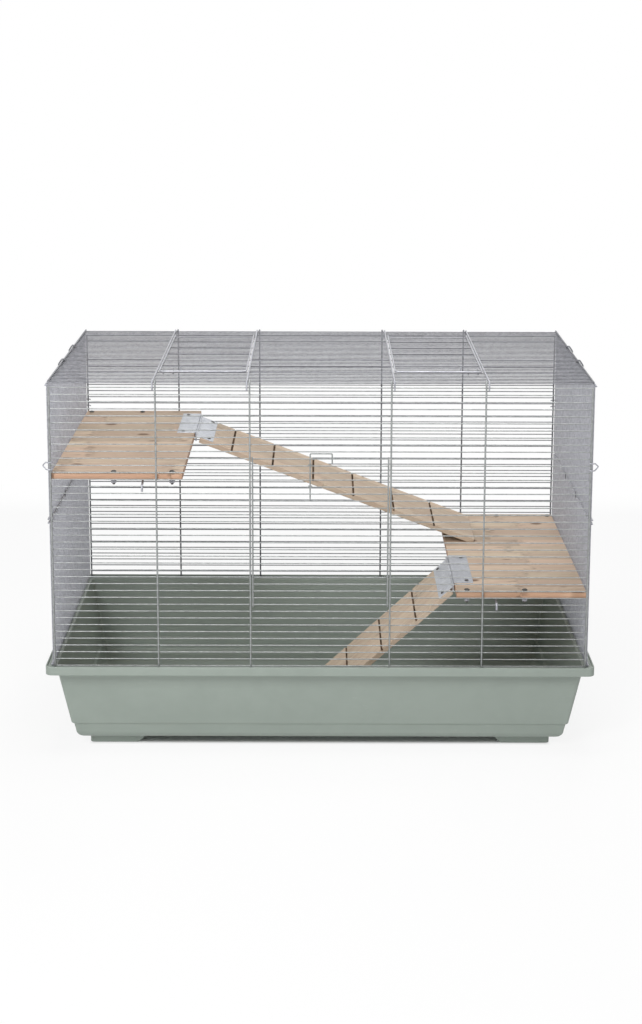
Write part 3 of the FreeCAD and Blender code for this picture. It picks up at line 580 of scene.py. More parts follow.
SIDE_TOP, SPLIT_ABOVE, SPLIT_HALF = ROOF_Z - 4.7, 12.0, 3.6
split = (FOOT_Z + SIDE_TOP) / 2 + SPLIT_ABOVE
MID_LOW, MID_HIGH = split - SPLIT_HALF, split + SPLIT_HALF
for word, side in WALLS.items():
    lower = side_half(side, FOOT_Z, MID_LOW + STRUT_R, np.array([FOOT_Z + 2 * STRUT_R, MID_LOW]))
    upper = side_half(side, MID_HIGH - STRUT_R, SIDE_TOP + STRUT_R, np.array([MID_HIGH, SIDE_TOP]))
    piece(word + "_lower_grille", lower, [zinc_wire], "cage_top", [word + "_lower_panel"])
    piece(word + "_upper_grille", upper, [zinc_wire], "cage_top", [word + "_upper_panel"])

# %% The roof, with its struts bent down at both ends
HOOK_Y, HOOK_TIP_Z, HOOK_BEND = 261.7, ROOF_STRUT_Z - 16.0, 3.0
ROOF_SIDE_X, ROOF_END, ROOF_LATCH_ROW, ROOF_HINGE_ROW = 484.0, 485.6, 7, 35
ROOF_DOOR_ROWS = np.arange(ROOF_LATCH_ROW + 1, ROOF_HINGE_ROW)
ROOF_WHOLE_ROWS = np.setdiff1d(np.arange(ROWS), ROOF_DOOR_ROWS)
hook_ys = HOOK_Y * np.array([-1, -1, 1, 1])
hook_zs = np.array([HOOK_TIP_Z, ROOF_STRUT_Z, ROOF_STRUT_Z, HOOK_TIP_Z])
bent_struts = [eased(at(x, hook_ys, hook_zs), HOOK_BEND) for x in ROOF_STRUT_XS]
whole, cut = ROOF_Y[ROOF_WHOLE_ROWS], ROOF_Y[ROOF_DOOR_ROWS]
inner, outer = ROOF_STRUT_XS[2] + STRUT_R, ROOF_STRUT_XS[3] - STRUT_R
sides = np.array([-ROOF_SIDE_X, ROOF_SIDE_X])
roof = [wires(bent_struts, STRUT_R, X),
        straight(at(sides, -SIDE_REACH, ROOF_STRUT_Z), at(sides, SIDE_REACH, ROOF_STRUT_Z), STRUT_R, Z),
        straight(at(-ROOF_END, whole, ROOF_Z), at(ROOF_END, whole, ROOF_Z), FIELD_R, Z),
        straight(at(-inner, cut, ROOF_Z), at(inner, cut, ROOF_Z), FIELD_R, Z),
        welds(np.concatenate([ROOF_STRUT_XS, sides]), ROOF_Y, [ROOF_Z + FIELD_R], Z, Y)]
roof += [straight(at(s * outer, cut, ROOF_Z), at(s * ROOF_END, cut, ROOF_Z), FIELD_R, Z) for s in SIDES]
# The roof's bent struts take the plain wire zinc; its side struts, rows and welds take the shaded copy, a
# painted shade.
piece("roof_grille", roof, [zinc_wire, zinc_shaded_copy], "cage_top", ["roof_panel"], lead=1)

# %% [markdown]
# ## Rings and corner clips
# Open rings hold the halves of a side wall together and hang its top on the roof.
# A sprung clip at each corner hooks round two uprights, and its point stands out to be pulled.

# %% Open rings
CLIP_R, RING_HOOK, STRUT_RING_R, BOLT_RING_R, RING_ROW = 1.2, 60.0, 3.466, 2.988, 14


def ring_about(a, b, radius, axis):
    """Half a turn about b, straight runs to a, and a hook of 60 degrees behind a on each side."""
    a, b = np.asarray(a, float), np.asarray(b, float)
    first = unit(b - a)
    second = np.cross(axis, first)
    start = arc(a, radius, first, second, -90 - RING_HOOK, RING_HOOK, 6)
    bend = arc(b, radius, first, second, -90, 180, 14)
    end = arc(a, radius, first, second, 90, RING_HOOK, 6)
    return np.vstack([start, bend, end])


ring_y = ROOF_Y[RING_ROW] + np.diff(ROOF_Y)[0] / 2
for word, side in WALLS.items():
    loops, long_x, roof_x = [], side * SIDE_STRUT_X, side * ROOF_SIDE_X
    for y in (ring_y, -ring_y):
        loops.append(ring_about((long_x, y, MID_LOW), (long_x, y, MID_HIGH), STRUT_RING_R, Y))
        loops.append(ring_about((long_x, y, SIDE_TOP), (roof_x, y, ROOF_STRUT_Z), STRUT_RING_R, Y))
    # The rings take the shaded copy of the zinc: painted shade.
    piece(word + "_rings", [wires(loops, CLIP_R, Y)], [zinc_shaded_copy],
          "cage_top", [word + "_panel_rings"])

# %% Corner clips
CLIP_Z, CLIP_HALF, CLIP_TURN, CLIP_OUT, CLIP_BEND = ROW_Z[29], PITCH / 2, 6.3, 6.0, 3.0


def corner_clip(sx, sy):
    """Two level hooks about a corner's uprights, joined by a bent point.

    The wire never runs along clear, so its rings are measured from that direction.
    """
    centre = np.array([sx * (END_STRUT + SIDE_X) / 2, sy * (STRUT_Y + ROOF_Y[-1]) / 2, CLIP_Z])
    hook = arc(centre, CLIP_TURN, sx * X, sy * Y, 180, -150, 14)
    tip = centre + sx * X * (CLIP_TURN + CLIP_OUT)
    point = eased([hook[-1] + CLIP_HALF * Z, tip, hook[-1] - CLIP_HALF * Z], CLIP_BEND)[1:-1]
    path = np.vstack([hook + CLIP_HALF * Z, point, hook[::-1] - CLIP_HALF * Z])
    clear = 0.26 * sx * X - 0.97 * sy * Y
    return wires(path, CLIP_R, clear)


for word, sy in (("front", -1), ("back", 1)):
    clips = [corner_clip(sx, sy) for sx in SIDES]
    piece(word + "_clips", clips, [zinc_wire], "cage_top", [word + "_corner_clips"])

# %% [markdown]
# ## The doors and their latches
# The front door hangs on two eyes about a row of the front panel and folds down.
# Its latch is one bent wire that slides in staples, with a pull turned out to the front.
# The roof doors are bent frames that turn on a row of the roof; a small bolt slides in two rings.

# %% The front door
DOOR_R, DOOR_X, DOOR_Y, DOOR_ROW_Y, DOOR_EYE_R = 1.5, CUT_X - 3.0, -262.279, -259.779, 3.479
LATCH_X, LATCH_SHORT_X, LATCH_Y = -18.5, 21.0, -256.014
DOOR_ABOVE, STAPLE_IN, STAPLE_SIDE, STAPLE_R, STAPLE_BEND = 4.0, -252.914, 3.2, 1.0, 1.6
STAPLES = ((LATCH_X, 26), (LATCH_X, 29), (LATCH_SHORT_X, 30))


def door_upright(sx):
    """Straight down from the door's top, then three quarters of a turn about the hinge row."""
    eye = arc((sx * DOOR_X, -ROW_Y, ROW_Z[HINGE_ROW]), DOOR_EYE_R, -Y, -Z, 0, 270)
    return np.vstack([(sx * DOOR_X, DOOR_Y, ROW_Z[DOOR_ROWS[-1]] + DOOR_ABOVE), eye])


def staple(x, row):
    """A square loop from a door row round one leg of the latch."""
    xs = x + STAPLE_SIDE * np.array([-1, -1, 1, 1])
    ys = np.array([DOOR_ROW_Y + 0.5, STAPLE_IN, STAPLE_IN, DOOR_ROW_Y + 0.5])
    return eased(at(xs, ys, ROW_Z[row]), STAPLE_BEND)


door_end, door_zs = DOOR_X + DOOR_R, ROW_Z[DOOR_ROWS]
door = [wires([door_upright(s) for s in SIDES], DOOR_R, X),
        straight(at(-door_end, DOOR_ROW_Y, door_zs), at(door_end, DOOR_ROW_Y, door_zs), FIELD_R, Z),
        welds([-DOOR_X, DOOR_X], [DOOR_ROW_Y - FIELD_R], door_zs, Y, X),
        wires([staple(x, row) for x, row in STAPLES], STAPLE_R, Z)]
# The door takes the front copy of the zinc, a painted shade.
piece("front_door_grille", door, [zinc_front_shaded_copy], "front_door", ["front_door"])

# %% The front latch
LATCH_TOP, LATCH_LOW = ROW_Z[LATCH_ROW] - 4.3, ROW_Z[24] + 3.2
PULL_OUT, SHORT_LEG, WIRE_BEND = 10.0, 19.0, 2.6
latch_xs = np.array([LATCH_X, LATCH_X, LATCH_X, LATCH_SHORT_X, LATCH_SHORT_X])
latch_ys = LATCH_Y - PULL_OUT * np.array([1, 0, 0, 0, 0])
latch_zs = np.array([LATCH_LOW, LATCH_LOW, LATCH_TOP, LATCH_TOP, LATCH_TOP - SHORT_LEG])
latch_line = eased(at(latch_xs, latch_ys, latch_zs), WIRE_BEND)
# The latch takes the front copy of the zinc, a painted shade.
piece("front_latch_wire", [wires(latch_line, CLIP_R, X + Y + Z)], [zinc_front_shaded_copy],
      "front_latch", ["front_latch"])

# %% The roof doors and their bolts
ROOF_FRAME_Z = ROOF_Z + DOOR_EYE_R
ROOF_DOOR_ROW_Z = ROOF_FRAME_Z - DOOR_R - FIELD_R
DOOR_IN, DOOR_OUT = ROOF_STRUT_XS[2] + 4.6, ROOF_STRUT_XS[3] - 4.6
DOOR_CORNER, DOOR_FRONT = 9.0, ROOF_Y[ROOF_LATCH_ROW] - 6.0
BOLT_Y = (ROOF_Y[ROOF_LATCH_ROW] + ROOF_Y[ROOF_LATCH_ROW + 1]) / 2
BOLT_Z, BOLT_TIP = ROOF_STRUT_Z - 3.633, ROOF_STRUT_XS[3] - 3.348
BOLT_LONG, BOLT_UP, GUIDE_STEPS = 40.0, 12.0, (8.0, 26.0)


def roof_door_frame(side):
    """Eye, long side, round corner, front, round corner, long side, eye."""
    sideways, hinge_y = side * X, ROOF_Y[ROOF_HINGE_ROW]
    corner_y, c = DOOR_FRONT + DOOR_CORNER, DOOR_CORNER
    return np.vstack([
        arc((side * DOOR_IN, hinge_y, ROOF_Z), DOOR_EYE_R, Y, Z, -180, 270),
        arc((side * (DOOR_IN + c), corner_y, ROOF_FRAME_Z), c, -sideways, -Y, 0, 90, 6),
        arc((side * (DOOR_OUT - c), corner_y, ROOF_FRAME_Z), c, -Y, sideways, 0, 90, 6),
        arc((side * DOOR_OUT, hinge_y, ROOF_Z), DOOR_EYE_R, Y, Z, 90, -270)])


for word, side in WALLS.items():
    ys = ROOF_Y[ROOF_DOOR_ROWS]
    guide_xs = [side * (BOLT_TIP - step) for step in GUIDE_STEPS]
    guides = [ring_about((x, ys[0], ROOF_DOOR_ROW_Z), (x, BOLT_Y, BOLT_Z), BOLT_RING_R, X)
              for x in guide_xs]
    hatch = [wires(roof_door_frame(side), DOOR_R, X + Z),
             straight(at(side * (DOOR_IN - DOOR_R), ys, ROOF_DOOR_ROW_Z),
                      at(side * (DOOR_OUT + DOOR_R), ys, ROOF_DOOR_ROW_Z), FIELD_R, Z),
             welds([side * DOOR_IN, side * DOOR_OUT], ys, [ROOF_DOOR_ROW_Z + FIELD_R], Z, Y),
             wires(guides, CLIP_R, X)]
    # The hatch's frame takes the plain wire zinc; its rows, welds and bolt guides take the shaded copy, a
    # painted shade.
    piece(word + "_hatch", hatch, [zinc_wire, zinc_shaded_copy],
          word + "_roof_door", [word + "_roof_door"], lead=1)
    bolt_xs = side * (BOLT_TIP - BOLT_LONG * np.array([0, 1, 1]))
    bolt_line = eased(at(bolt_xs, BOLT_Y, BOLT_Z + BOLT_UP * np.array([0, 0, 1])), WIRE_BEND)
    piece(word + "_hatch_bolt", [wires(bolt_line, CLIP_R, Y)], [zinc_wire],
          word + "_roof_latch", [word + "_roof_latch"])

# %% [markdown]
# ## The tray
# The tray is moulded in one: sloping walls, a step near the bottom, a turned-down rim and four feet.
# Its wall is a single profile from the underside out, up, over the rim and down to the floor inside.
# That profile is carried round a rectangle with round corners, so every edge is softened as in a mould.


# %% A rectangle with round corners at each level
def rounded_loops(half_x, half_y, corner, steps=7):
    """One outline per level: corner centre + c (cos a, sin a), a quarter turn at each corner."""
    levels = np.broadcast_arrays(*map(np.atleast_1d, (half_x, half_y, corner)))
    half_x, half_y, corner = (values[:, None, None] for values in levels)
    quarter = 90 * np.arange(4)[None, :, None]
    a = np.radians(np.linspace(0, 90, steps + 1)[None, None, :] + quarter)
    sx, sy = np.array([1, -1, -1, 1])[None, :, None], np.array([1, 1, -1, -1])[None, :, None]
    x = sx * (half_x - corner) + corner * np.cos(a)
    y = sy * (half_y - corner) + corner * np.sin(a)
    return np.stack([x, y], -1).reshape(len(x), -1, 2)


def lofted(half_x, half_y, corner, z, centre=(0.0, 0.0)):
    """A closed skin through level outlines, given as arrays over the levels."""
    loops = rounded_loops(half_x, half_y, corner) + np.atleast_2d(centre)[:, None, :]
    heights = np.broadcast_to(np.asarray(z, float)[:, None, None], loops.shape[:2] + (1,))
    return skin(np.concatenate([loops, heights], -1))


# %% The tray's profile, as distances in from the rim and heights
RIM_X, RIM_Y, RIM_CORNER = 500.0, 272.5, 12.0
WALL, FLOOR_IN, FLOOR_LOW, ROUND_AT, ROUND_R = 2.6, 68.0, 16.0, (65.0, 34.0), 18.0
outside = [(47, 34), (44, 47), (40, 50), (17, 167.9), (2.6, 167.9), (2.6, 157.5), (0, 157.5), (0, TRAY_TOP)]
inside = [(2.6, TRAY_TOP), (2.6, 170.5), (19.6, 170.5), (42.6, 50), (46.6, 47), (49.6, 34)]
corner_sizes = np.array([1.5, 1.5, 4, 1.2, 0.9, 0.9, 1.3, 0.9, 1.2, 3, 1.5, 1.5])
outer_round = arc(ROUND_AT, ROUND_R, -UP, -ASIDE, 0, 90, 9)
inner_round = arc(ROUND_AT, ROUND_R - WALL, -ASIDE, -UP, 0, 90, 9)
profile = np.vstack([(FLOOR_IN, FLOOR_LOW), outer_round[:-1], eased(outside + inside, corner_sizes),
                     inner_round[1:], (FLOOR_IN, FLOOR_LOW + WALL)])
inset, level = profile.T
plan_corner = np.maximum(RIM_CORNER * (1 - inset / FLOOR_IN), RIM_CORNER / 3)
tub = lofted(RIM_X - inset, RIM_Y - inset, plan_corner, level)

# %% The tray's feet
FOOT_OUT_X, FOOT_OUT_Y, FOOT_LONG, FOOT_WIDE = 429.0, 201.5, 92.0, 62.0
FOOT_LEAN, FOOT_TALL, FOOT_CORNER, FOOT_SUNK = 16.0, 16.0, 5.0, 1.5
lift = np.array([0.0, 0.4, 1.2, FOOT_TALL, FOOT_TALL + FOOT_SUNK])
round_in = np.array([1.2, 0.4, 0.0, 0.0, 0.0])
half_long, half_wide = (FOOT_LONG + FOOT_LEAN * lift / FOOT_TALL) / 2, np.full(len(lift), FOOT_WIDE / 2)
middles = np.stack([FOOT_OUT_X - half_long, FOOT_OUT_Y - half_wide], -1)
feet = [lofted(half_long - round_in, half_wide - round_in, FOOT_CORNER - round_in, lift, middles * (sx, sy))
        for sx in SIDES for sy in SIDES]
piece("tray_tub", [tub] + feet, [plastic], "tray", ["tray"], sharp=50)

# %% [markdown]
# ## Shelves and ramps
# The shelves are boards with eased edges, so a level outline is carried up through a rounded profile.
# The ramps have saw cuts across them for grip. Their long section, with the cuts, is carried across.
# The cut edges of pine look redder than its face, so faces that stand upright take the edge finish.
# The faces inside the saw cuts take a dark brown that paints the shade in the cuts.

# %% Boards with eased edges
# Each shelf: the side it hangs on, the height of its top, and the row that carries its hooks.
SHELF_IN, SHELF_OUT, SHELF_Y, SHELF_THICK = 247.486, 483.486, 256.4, 12.0
SHELVES = {"upper": (-1, 532.0, 26), "lower": (1, 311.85, 9)}


def per_face(made, what):
    """One vector for each face of a piece: its normal, or its center in metres."""
    values = np.zeros(3 * len(made.data.polygons))
    made.data.polygons.foreach_get(what, values)
    return values.reshape(-1, 3)


def to_second(made, chosen):
    """The chosen faces of a piece take its second finish."""
    made.data.polygons.foreach_set("material_index", chosen.astype(np.int32))


EASE, PART_EASE, BOARD_CORNER, UPRIGHT = 1.2, 0.35, 2.5, 0.6
rise = np.array([0.0, PART_EASE, EASE, SHELF_THICK - EASE, SHELF_THICK - PART_EASE, SHELF_THICK])
drawn = np.array([EASE, PART_EASE, 0.0, 0.0, PART_EASE, EASE])
for word, (side, top, row) in SHELVES.items():
    middle = (side * (SHELF_IN + SHELF_OUT) / 2, 0.0)
    board = lofted((SHELF_OUT - SHELF_IN) / 2 - drawn, SHELF_Y - drawn, BOARD_CORNER - drawn,
                   top - SHELF_THICK + rise, middle)
    made = piece(word + "_board", [board], [shelf_face, shelf_edge],
                 "cage_top", [word + "_shelf"])
    to_second(made, np.abs(per_face(made, "normal")[:, 2]) < UPRIGHT)

# %% Places on the two hinges
# Each hinge: the middle of its pin, the ramp's slope in degrees and length, and the way it runs in X.
HINGES = {"upper": ((-244.536, 142.0, 528.4), 20.7655, 590.027, 1),
          "lower": ((244.536, -120.0, 308.25), 42.6, 419.268, -1)}


def at_hinge(skin_made, word, slope, way):
    """A piece made along +X from the pin, swung down by slope, faced along way and set on its pin."""
    (grid, faces), place = skin_made, HINGES[word][0]
    a = np.radians(slope)
    x, y, z = grid.T
    along, high = x * np.cos(a) + z * np.sin(a), z * np.cos(a) - x * np.sin(a)
    return np.stack([way * along, way * y, high], -1) + place, faces


def across(section, low, high, ease):
    """A closed section of (x, z) carried along Y, drawn in by ease at both ends."""
    section = np.asarray(section, float)
    drawn_in = np.clip(section, section.min(0) + ease, section.max(0) - ease)
    rings = [(drawn_in, low), (section, low + ease), (section, high - ease), (drawn_in, high)]
    return skin(np.stack([np.insert(ring, 1, y, axis=1) for ring, y in rings]))


# %% Ramps with saw cuts
KNUCKLE_R, RAMP_THICK, RAMP_START, RAMP_HALF, BEVEL = 2.55, 10.0, 10.0, 86.0, 5.0
FIRST_CUTS, CUT_PITCH, CUT_HALF, CUT_DEEP = {"upper": 76.0, "lower": 94.5}, 85.5, 2.0, 3.0
RAMP_EASE, SPARE = 0.7, 0.2


def ramp_section(word, length, slope):
    """Round the board's long section, with a notch at each saw cut and an end that stands level."""
    top, bottom = -KNUCKLE_R, -KNUCKLE_R - RAMP_THICK
    heel = length - BEVEL / np.tan(np.radians(slope))
    cuts = np.arange(FIRST_CUTS[word], heel, CUT_PITCH)
    notch_x = cuts[:, None] + CUT_HALF * np.array([-1, -1, 1, 1])
    notch_z = top - CUT_DEEP * np.array([0, 1, 1, 0]) + 0 * notch_x
    notches = np.stack([notch_x, notch_z], -1).reshape(-1, 2)
    middle = [(length / 2, bottom)]
    end = [(length, top), (length, bottom + BEVEL), (heel, bottom)]
    line = middle + [(RAMP_START, bottom), (RAMP_START, top), *notches, *end] + middle
    return eased(line, RAMP_EASE, 3)[:-1]


def in_cuts(made, word):
    """True for faces inside the saw cuts; at_hinge is turned back to find them."""
    place, slope, _, way = HINGES[word]
    x, _, z = (per_face(made, "center") / MM - place).T
    a = np.radians(slope)
    along, up = way * x * np.cos(a) - z * np.sin(a), way * x * np.sin(a) + z * np.cos(a)
    from_cut = np.abs((along - FIRST_CUTS[word] + CUT_PITCH / 2) % CUT_PITCH - CUT_PITCH / 2)
    deep = (up > -KNUCKLE_R - CUT_DEEP - SPARE) & (up < -KNUCKLE_R - SPARE)
    return deep & (from_cut < CUT_HALF + SPARE / 2) & (along > RAMP_START + 1)


for word, (place, slope, length, way) in HINGES.items():
    section = ramp_section(word, length, slope)
    board = at_hinge(across(section, -RAMP_HALF, RAMP_HALF, RAMP_EASE), word, slope, way)
    ramp_face = pine_finish(word + "_pine_ramp", RAMP_STAVE, RAMP_BLOCK, FEW_KNOTS, *ramp_tones,
                            slope=-way * slope, shift=RAMP_SHIFTS[word])
    made = piece(word + "_ramp_board", [board], [ramp_face, sawn],
                 word + "_ramp", [word + "_ramp"])
    # Faces inside the saw cuts take the dark brown that paints their shade.
    to_second(made, in_cuts(made, word))

# %% [markdown]
# ## Hinges of sheet metal
# A hinge leaf is a strip of galvanised sheet, rolled at one edge round a wire pin.
# On the shelf it is folded down over the board's edge; on the ramp it lies flat.
# A strip's centre line with a thickness on both sides, carried along the pin, gives its true fold and roll.

# %% Strips of sheet
SHEET, LEAF_HALF, LEAF_WIDE, DROP, KNUCKLE = 1.0, 84.0, 36.0, 3.6, 55.0
SHEET_EASE, FOLD_BEND, ROLL_TURN, KNUCKLE_GAP = 0.15, 2.2, -300, 0.4
ROLL_R = KNUCKLE_R - SHEET / 2


def strip(line, low, high):
    """A centre line of (x, z) with half the sheet on each side along its normals, carried along Y."""
    line = np.asarray(line, float)
    runs = unit(np.diff(line, axis=0))
    along = unit(np.vstack([runs[:1], runs[:-1] + runs[1:], runs[-1:]]))
    normal = np.stack([-along[:, 1], along[:, 0]], -1) * SHEET / 2
    return across(np.vstack([line + normal, (line - normal)[::-1]])[::-1], low, high, SHEET_EASE)


free, fold_z, inner_knuckle = KNUCKLE_R + 0.5, DROP + SHEET / 2, LEAF_HALF - KNUCKLE
shelf_fold = eased([(LEAF_WIDE + 1.5, fold_z), (ROLL_R, fold_z), (ROLL_R, free)], FOLD_BEND)
shelf_roll = np.vstack([(ROLL_R, free + 0.4), arc((0, 0), ROLL_R, ASIDE, UP, 0, ROLL_TURN)])
ramp_flat = [(LEAF_WIDE, -ROLL_R), (free, -ROLL_R)]
ramp_roll = np.vstack([(free + 2, -ROLL_R), arc((0, 0), ROLL_R, ASIDE, UP, -90, ROLL_TURN)])
shelf_leaf = [strip(shelf_fold, -LEAF_HALF, LEAF_HALF)]
shelf_leaf += [strip(shelf_roll, *sorted((s * LEAF_HALF, s * inner_knuckle))) for s in SIDES]
ramp_leaf = [strip(ramp_flat, -LEAF_HALF, LEAF_HALF),
             strip(ramp_roll, KNUCKLE_GAP - inner_knuckle, inner_knuckle - KNUCKLE_GAP)]
for word, (place, slope, length, way) in HINGES.items():
    on_shelf = [at_hinge(s, word, 0.0, -way) for s in shelf_leaf]
    on_ramp = [at_hinge(s, word, slope, way) for s in ramp_leaf]
    # The lower fold leaf takes the shaded copy of the sheet and the others the lit copy: painted light and
    # shade.
    fold_painted_light_copy = sheet_lit_copy if word == "upper" else sheet_shaded_copy
    piece(word + "_fold_leaf", on_shelf, [fold_painted_light_copy], "cage_top", [word + "_shelf_leaf"])
    piece(word + "_flat_leaf", on_ramp, [sheet_lit_copy],
          word + "_ramp", [word + "_ramp_leaf"])

# %% Hinge pins with a bent tail
PIN_R, PIN_FRONT, PIN_TAIL, PIN_BEND = 1.45, 91.0, 11.0, 2.0
pin_end = PIN_R - PIN_FRONT
pin_line = eased([(0, LEAF_HALF, 0), (0, pin_end, 0), (0, pin_end, -PIN_TAIL)], PIN_BEND)
for word, (place, slope, length, way) in HINGES.items():
    piece(word + "_pin_wire", [wires(pin_line + place, PIN_R, X)], [zinc_wire],
          "cage_top", [word + "_hinge_pin"])

# %% [markdown]
# ## Screws, bolts and brackets
# Pan-head screws with a cross recess hold the leaves; bolts and nuts hold the shelf brackets.
# The recess is a dip in the head's height, a function of distance from the middle and of angle.
# Each bracket is one thick wire: an eye round each bolt, a bar between them, and a hook over a row.

# %% Screw heads with a cross recess
HEAD_RINGS = np.array([1.0, 1.0, 0.96, 0.88, 0.74, 0.6, 0.46, 0.34, 0.22, 0.12, 0.03])
CROWN, DIP, ARM_HALF, ARM_SIDE, ARM_REACH, ARM_END = 0.6, 0.5, 0.15, 0.06, 0.62, 0.12


def cross_heads(centres, radius, height, sides=32):
    """Height = h (1 - CROWN s^2 - DIP arm), where s is the share of the radius from the middle.

    Arm is 1 where x or y is small and s is under ARM_REACH, and falls to 0 at the cross's sides.
    """
    s = HEAD_RINGS[:, None]
    a = (2 * np.pi * np.arange(sides) / sides)[None, :]
    x, y = s * np.cos(a), s * np.sin(a)
    arm = np.clip((ARM_HALF - np.minimum(np.abs(x), np.abs(y))) / ARM_SIDE, 0, 1)
    arm = arm * np.clip((ARM_REACH - s) / ARM_END, 0, 1)
    z = height * (1 - CROWN * s ** 2 - DIP * arm)
    z[0] = 0.0
    rings = np.stack([radius * x, radius * y, z], -1)
    return skin(np.asarray(centres, float)[:, None, None] + rings)


SCREW_X, SCREW_Y, SCREW_HEAD, SCREW_TALL, SHANK_R = 26.0, 70.0, 3.8, 2.2, 1.6
SHANK = [(0.3, -7.9), (SHANK_R, -6.0), (SHANK_R, 0.2)]
for word, (place, slope, length, way) in HINGES.items():
    leaf_tops = {"shelf": (DROP + SHEET, 0.0, -way), "ramp": (SHEET - KNUCKLE_R, slope, way)}
    for part, (top, tilt, facing) in leaf_tops.items():
        centres = at(SCREW_X, np.array([-SCREW_Y, SCREW_Y]), top)
        skins = cross_heads(centres, SCREW_HEAD, SCREW_TALL), turned(centres, SHANK, Z, X, 10)
        screws = [at_hinge(s, word, tilt, facing) for s in skins]
        body = "cage_top" if part == "shelf" else word + "_ramp"
        piece(f"{word}_{part}_screws", screws, [zinc_bolt],
              body, [f"{word}_{part}_leaf_screws"])

# %% Shapes of the nuts and the bracket wires
NUT_R, NUT_TALL, NUT_EDGE = 4.6, 4.2, 0.5
NUT_CORNER = NUT_R / np.cos(np.pi / 6)
HEXAGON = [(NUT_R, 0.0), (NUT_CORNER, NUT_EDGE), (NUT_CORNER, NUT_TALL - NUT_EDGE), (NUT_R, NUT_TALL)]
BRACKET_R, BRACKET_HALF, BRACKET_Y, EYE_LINE = 2.0, 52.5, 242.4, 4.7
BRACKETS = ((319.486, -1), (420.486, 1))
HOOK_IN, HOOK_OUT, HOOK_DROP, BAR_HALF = 253.8, 262.1, 12.0, BRACKET_HALF - EYE_LINE


def bars_and_hooks(side, bar_z, hook_z):
    """For each bracket of a shelf, a level bar, and a hook that goes out over a row and down behind it."""
    skins = []
    for x, sy in BRACKETS:
        x, y = side * x, sy * BRACKET_Y
        skins.append(straight(at(x - BAR_HALF, y, bar_z), at(x + BAR_HALF, y, bar_z), BRACKET_R, Z))
        hook_ys = np.array([y, sy * HOOK_IN, sy * HOOK_OUT, sy * HOOK_OUT])
        hook_zs = np.array([bar_z, hook_z, hook_z, hook_z - HOOK_DROP])
        skins.append(wires(eased(at(x, hook_ys, hook_zs), WIRE_BEND), BRACKET_R, X))
    return skins


# %% Bolts, nuts and brackets on both shelves
BOLT_R, BOLT_HEAD_R, BOLT_TALL, BOLT_CUT, BOLT_TAIL = 2.5, 5.0, 3.2, 0.6, 3.0
for word, (side, top, row) in SHELVES.items():
    xs = np.array([side * (x + s * BRACKET_HALF) for x, sy in BRACKETS for s in SIDES])
    ys = BRACKET_Y * np.repeat([sy for x, sy in BRACKETS], 2)
    low = top - SHELF_THICK - 2 * BRACKET_R - NUT_TALL
    end = low - BOLT_TAIL - top
    shank = [(BOLT_R - BOLT_CUT, end), (BOLT_R, end + BOLT_CUT), (BOLT_R, 0.2)]
    bolts = [cross_heads(at(xs, ys, top), BOLT_HEAD_R, BOLT_TALL), turned(at(xs, ys, top), shank, Z, X, 12)]
    piece(word + "_bolts", bolts, [zinc_bolt], "cage_top", [word + "_shelf_bolts"])
    piece(word + "_nuts", [turned(at(xs, ys, low), HEXAGON, Z, X, 6)], [zinc_wire],
          "cage_top", [word + "_shelf_nuts"], sharp=20)
    bar_z, hook_z = top - SHELF_THICK - BRACKET_R, ROW_Z[row] + FIELD_R + BRACKET_R
    eyes = [arc((x, y, bar_z), EYE_LINE, X, Y, 0, 360)[:-1] for x, y in zip(xs, ys)]
    bracket = [wires(eyes, BRACKET_R, Z, closed=True)] + bars_and_hooks(side, bar_z, hook_z)
    piece(word + "_bracket_wires", bracket, [zinc_wire], "cage_top", [word + "_shelf_brackets"])

# %% [markdown]
# ## Floor, light and camera
# The cage stands on a white floor that runs into a white background, under broad soft lamps.
# The world is white where the camera, a reflection or a clear piece sees it, and dimmer as a light.
# The lamps and the world add up to a plain level, so a colour renders about as it is written.
# The floor takes the cage's shadow close by, and further off it fades into the white of the world.

# %% White world
bpy.context.scene.view_settings.view_transform = "Standard"


def seen(tree):
    """1 for rays from the camera, from a reflection or through a clear piece."""
    rays = tree.nodes.new("ShaderNodeLightPath").outputs
    mirrored = maths(tree, "MAXIMUM", rays["Is Camera Ray"], rays["Is Glossy Ray"])
    return maths(tree, "MAXIMUM", mirrored, rays["Is Transmission Ray"])


WORLD_LIGHT = 0.12
world = bpy.data.worlds.new("white_room")
bpy.context.scene.world = world
world.use_nodes = True
tree = world.node_tree
strength = ramp_to(tree, seen(tree), 0.0, 1.0, WORLD_LIGHT, 1.0)
tree.links.new(strength, tree.nodes["Background"].inputs["Strength"])
tree.nodes["Background"].inputs["Color"].default_value = (1.0, 1.0, 1.0, 1.0)
print("world as a light:", WORLD_LIGHT)

# %% A white floor that keeps the shadow under the tub
FLOOR_HALF, UNDER_X, UNDER_Y, CLOSE, CLOSE_GLOW, FAR = 30.0, 0.42, 0.2, (-0.004, 0.012), 0.88, (0.2, 1.4)
floor_white, tree, shader, place = finish("white_floor", Roughness=0.9, Specular_IOR_Level=0.0)
shader.inputs["Base Color"].default_value = paint(250, 250, 250)
glow = add(tree, "ShaderNodeEmission", {"Strength": 1.0}).outputs[0]
axes = add(tree, "ShaderNodeSeparateXYZ", {0: place}).outputs
past_x = maths(tree, "SUBTRACT", maths(tree, "ABSOLUTE", axes["X"]), UNDER_X)
past_y = maths(tree, "SUBTRACT", maths(tree, "ABSOLUTE", axes["Y"]), UNDER_Y)
past = maths(tree, "MAXIMUM", past_x, past_y)
close, far = ramp_to(tree, past, *CLOSE, 0.0, CLOSE_GLOW), ramp_to(tree, past, *FAR)
share = times(tree, seen(tree), maths(tree, "MAXIMUM", close, far))
mixed = add(tree, "ShaderNodeMixShader", {0: share, 1: shader.outputs[0], 2: glow}).outputs[0]
tree.links.new(mixed, tree.nodes["Material Output"].inputs["Surface"])
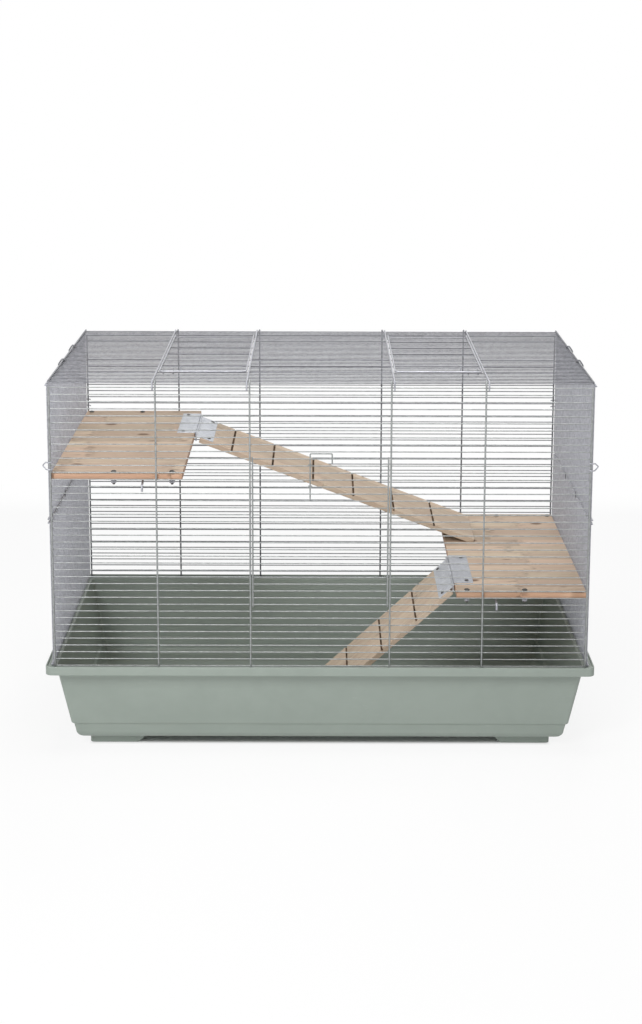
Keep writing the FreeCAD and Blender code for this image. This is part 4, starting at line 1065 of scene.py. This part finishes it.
ground = FLOOR_HALF * np.array([[-1, -1, 0], [1, -1, 0], [1, 1, 0], [-1, 1, 0]], float)
floor_mesh = bpy.data.meshes.new("floor")
floor_mesh.from_pydata(ground.tolist(), [], [(0, 1, 2, 3)])
floor_mesh.materials.append(floor_white)
floor = bpy.data.objects.new("floor", floor_mesh)
bpy.context.scene.collection.objects.link(floor)
print("floor:", 2 * FLOOR_HALF, "m wide")

# %% Soft lamps, each with its place, size in metres and watts
LAMP_AIM = np.array([0.0, 0.0, 0.35])
LAMPS = {"key": ((-1.4, -2.8, 2.7), 1.4, 68.0),
         "fill": ((1.2, -2.9, 2.7), 1.4, 14.0),
         "top": ((0.0, -0.3, 3.2), 1.4, 40.0),
         "low": ((-1.1, -3.2, 0.3), 1.0, 15.0),
         "back": ((0.6, 2.4, 3.2), 1.4, 28.0)}
for name, (stand, size, watts) in LAMPS.items():
    lamp = bpy.data.lights.new(name, "AREA")
    lamp.size, lamp.energy = size, watts
    made = bpy.data.objects.new(name, lamp)
    toward = unit(LAMP_AIM - stand)
    side = unit(np.cross(Y if abs(toward[2]) > 0.9 else Z, -toward))
    turn = np.stack([side, np.cross(-toward, side), -toward], -1)
    made.matrix_world = Matrix.Translation(stand) @ Matrix(turn.tolist()).to_4x4()
    bpy.context.scene.collection.objects.link(made)
    print(name, "lamp:", watts, "watts")

# %% The camera at the photograph's view
WIDE, HIGH = 642, 1024
FOCAL, LOOK_DOWN, LEAN, SHIFT, CAMERA_AT = 1770.2, 0.1747, 0.0024, -0.1802, (0.0003, -3.3317, 1.3414)
lens = bpy.data.cameras.new("camera")
lens.sensor_width = 36.0
lens.lens = FOCAL / max(WIDE, HIGH) * lens.sensor_width
lens.shift_y = SHIFT
camera = bpy.data.objects.new("camera", lens)
tilt, lean = Matrix.Rotation(np.pi / 2 - LOOK_DOWN, 4, "X"), Matrix.Rotation(LEAN, 4, "Z")
camera.matrix_world = Matrix.Translation(CAMERA_AT) @ tilt @ lean
bpy.context.scene.collection.objects.link(camera)
bpy.context.scene.camera = camera
print("lens", round(lens.lens, 2), "mm")
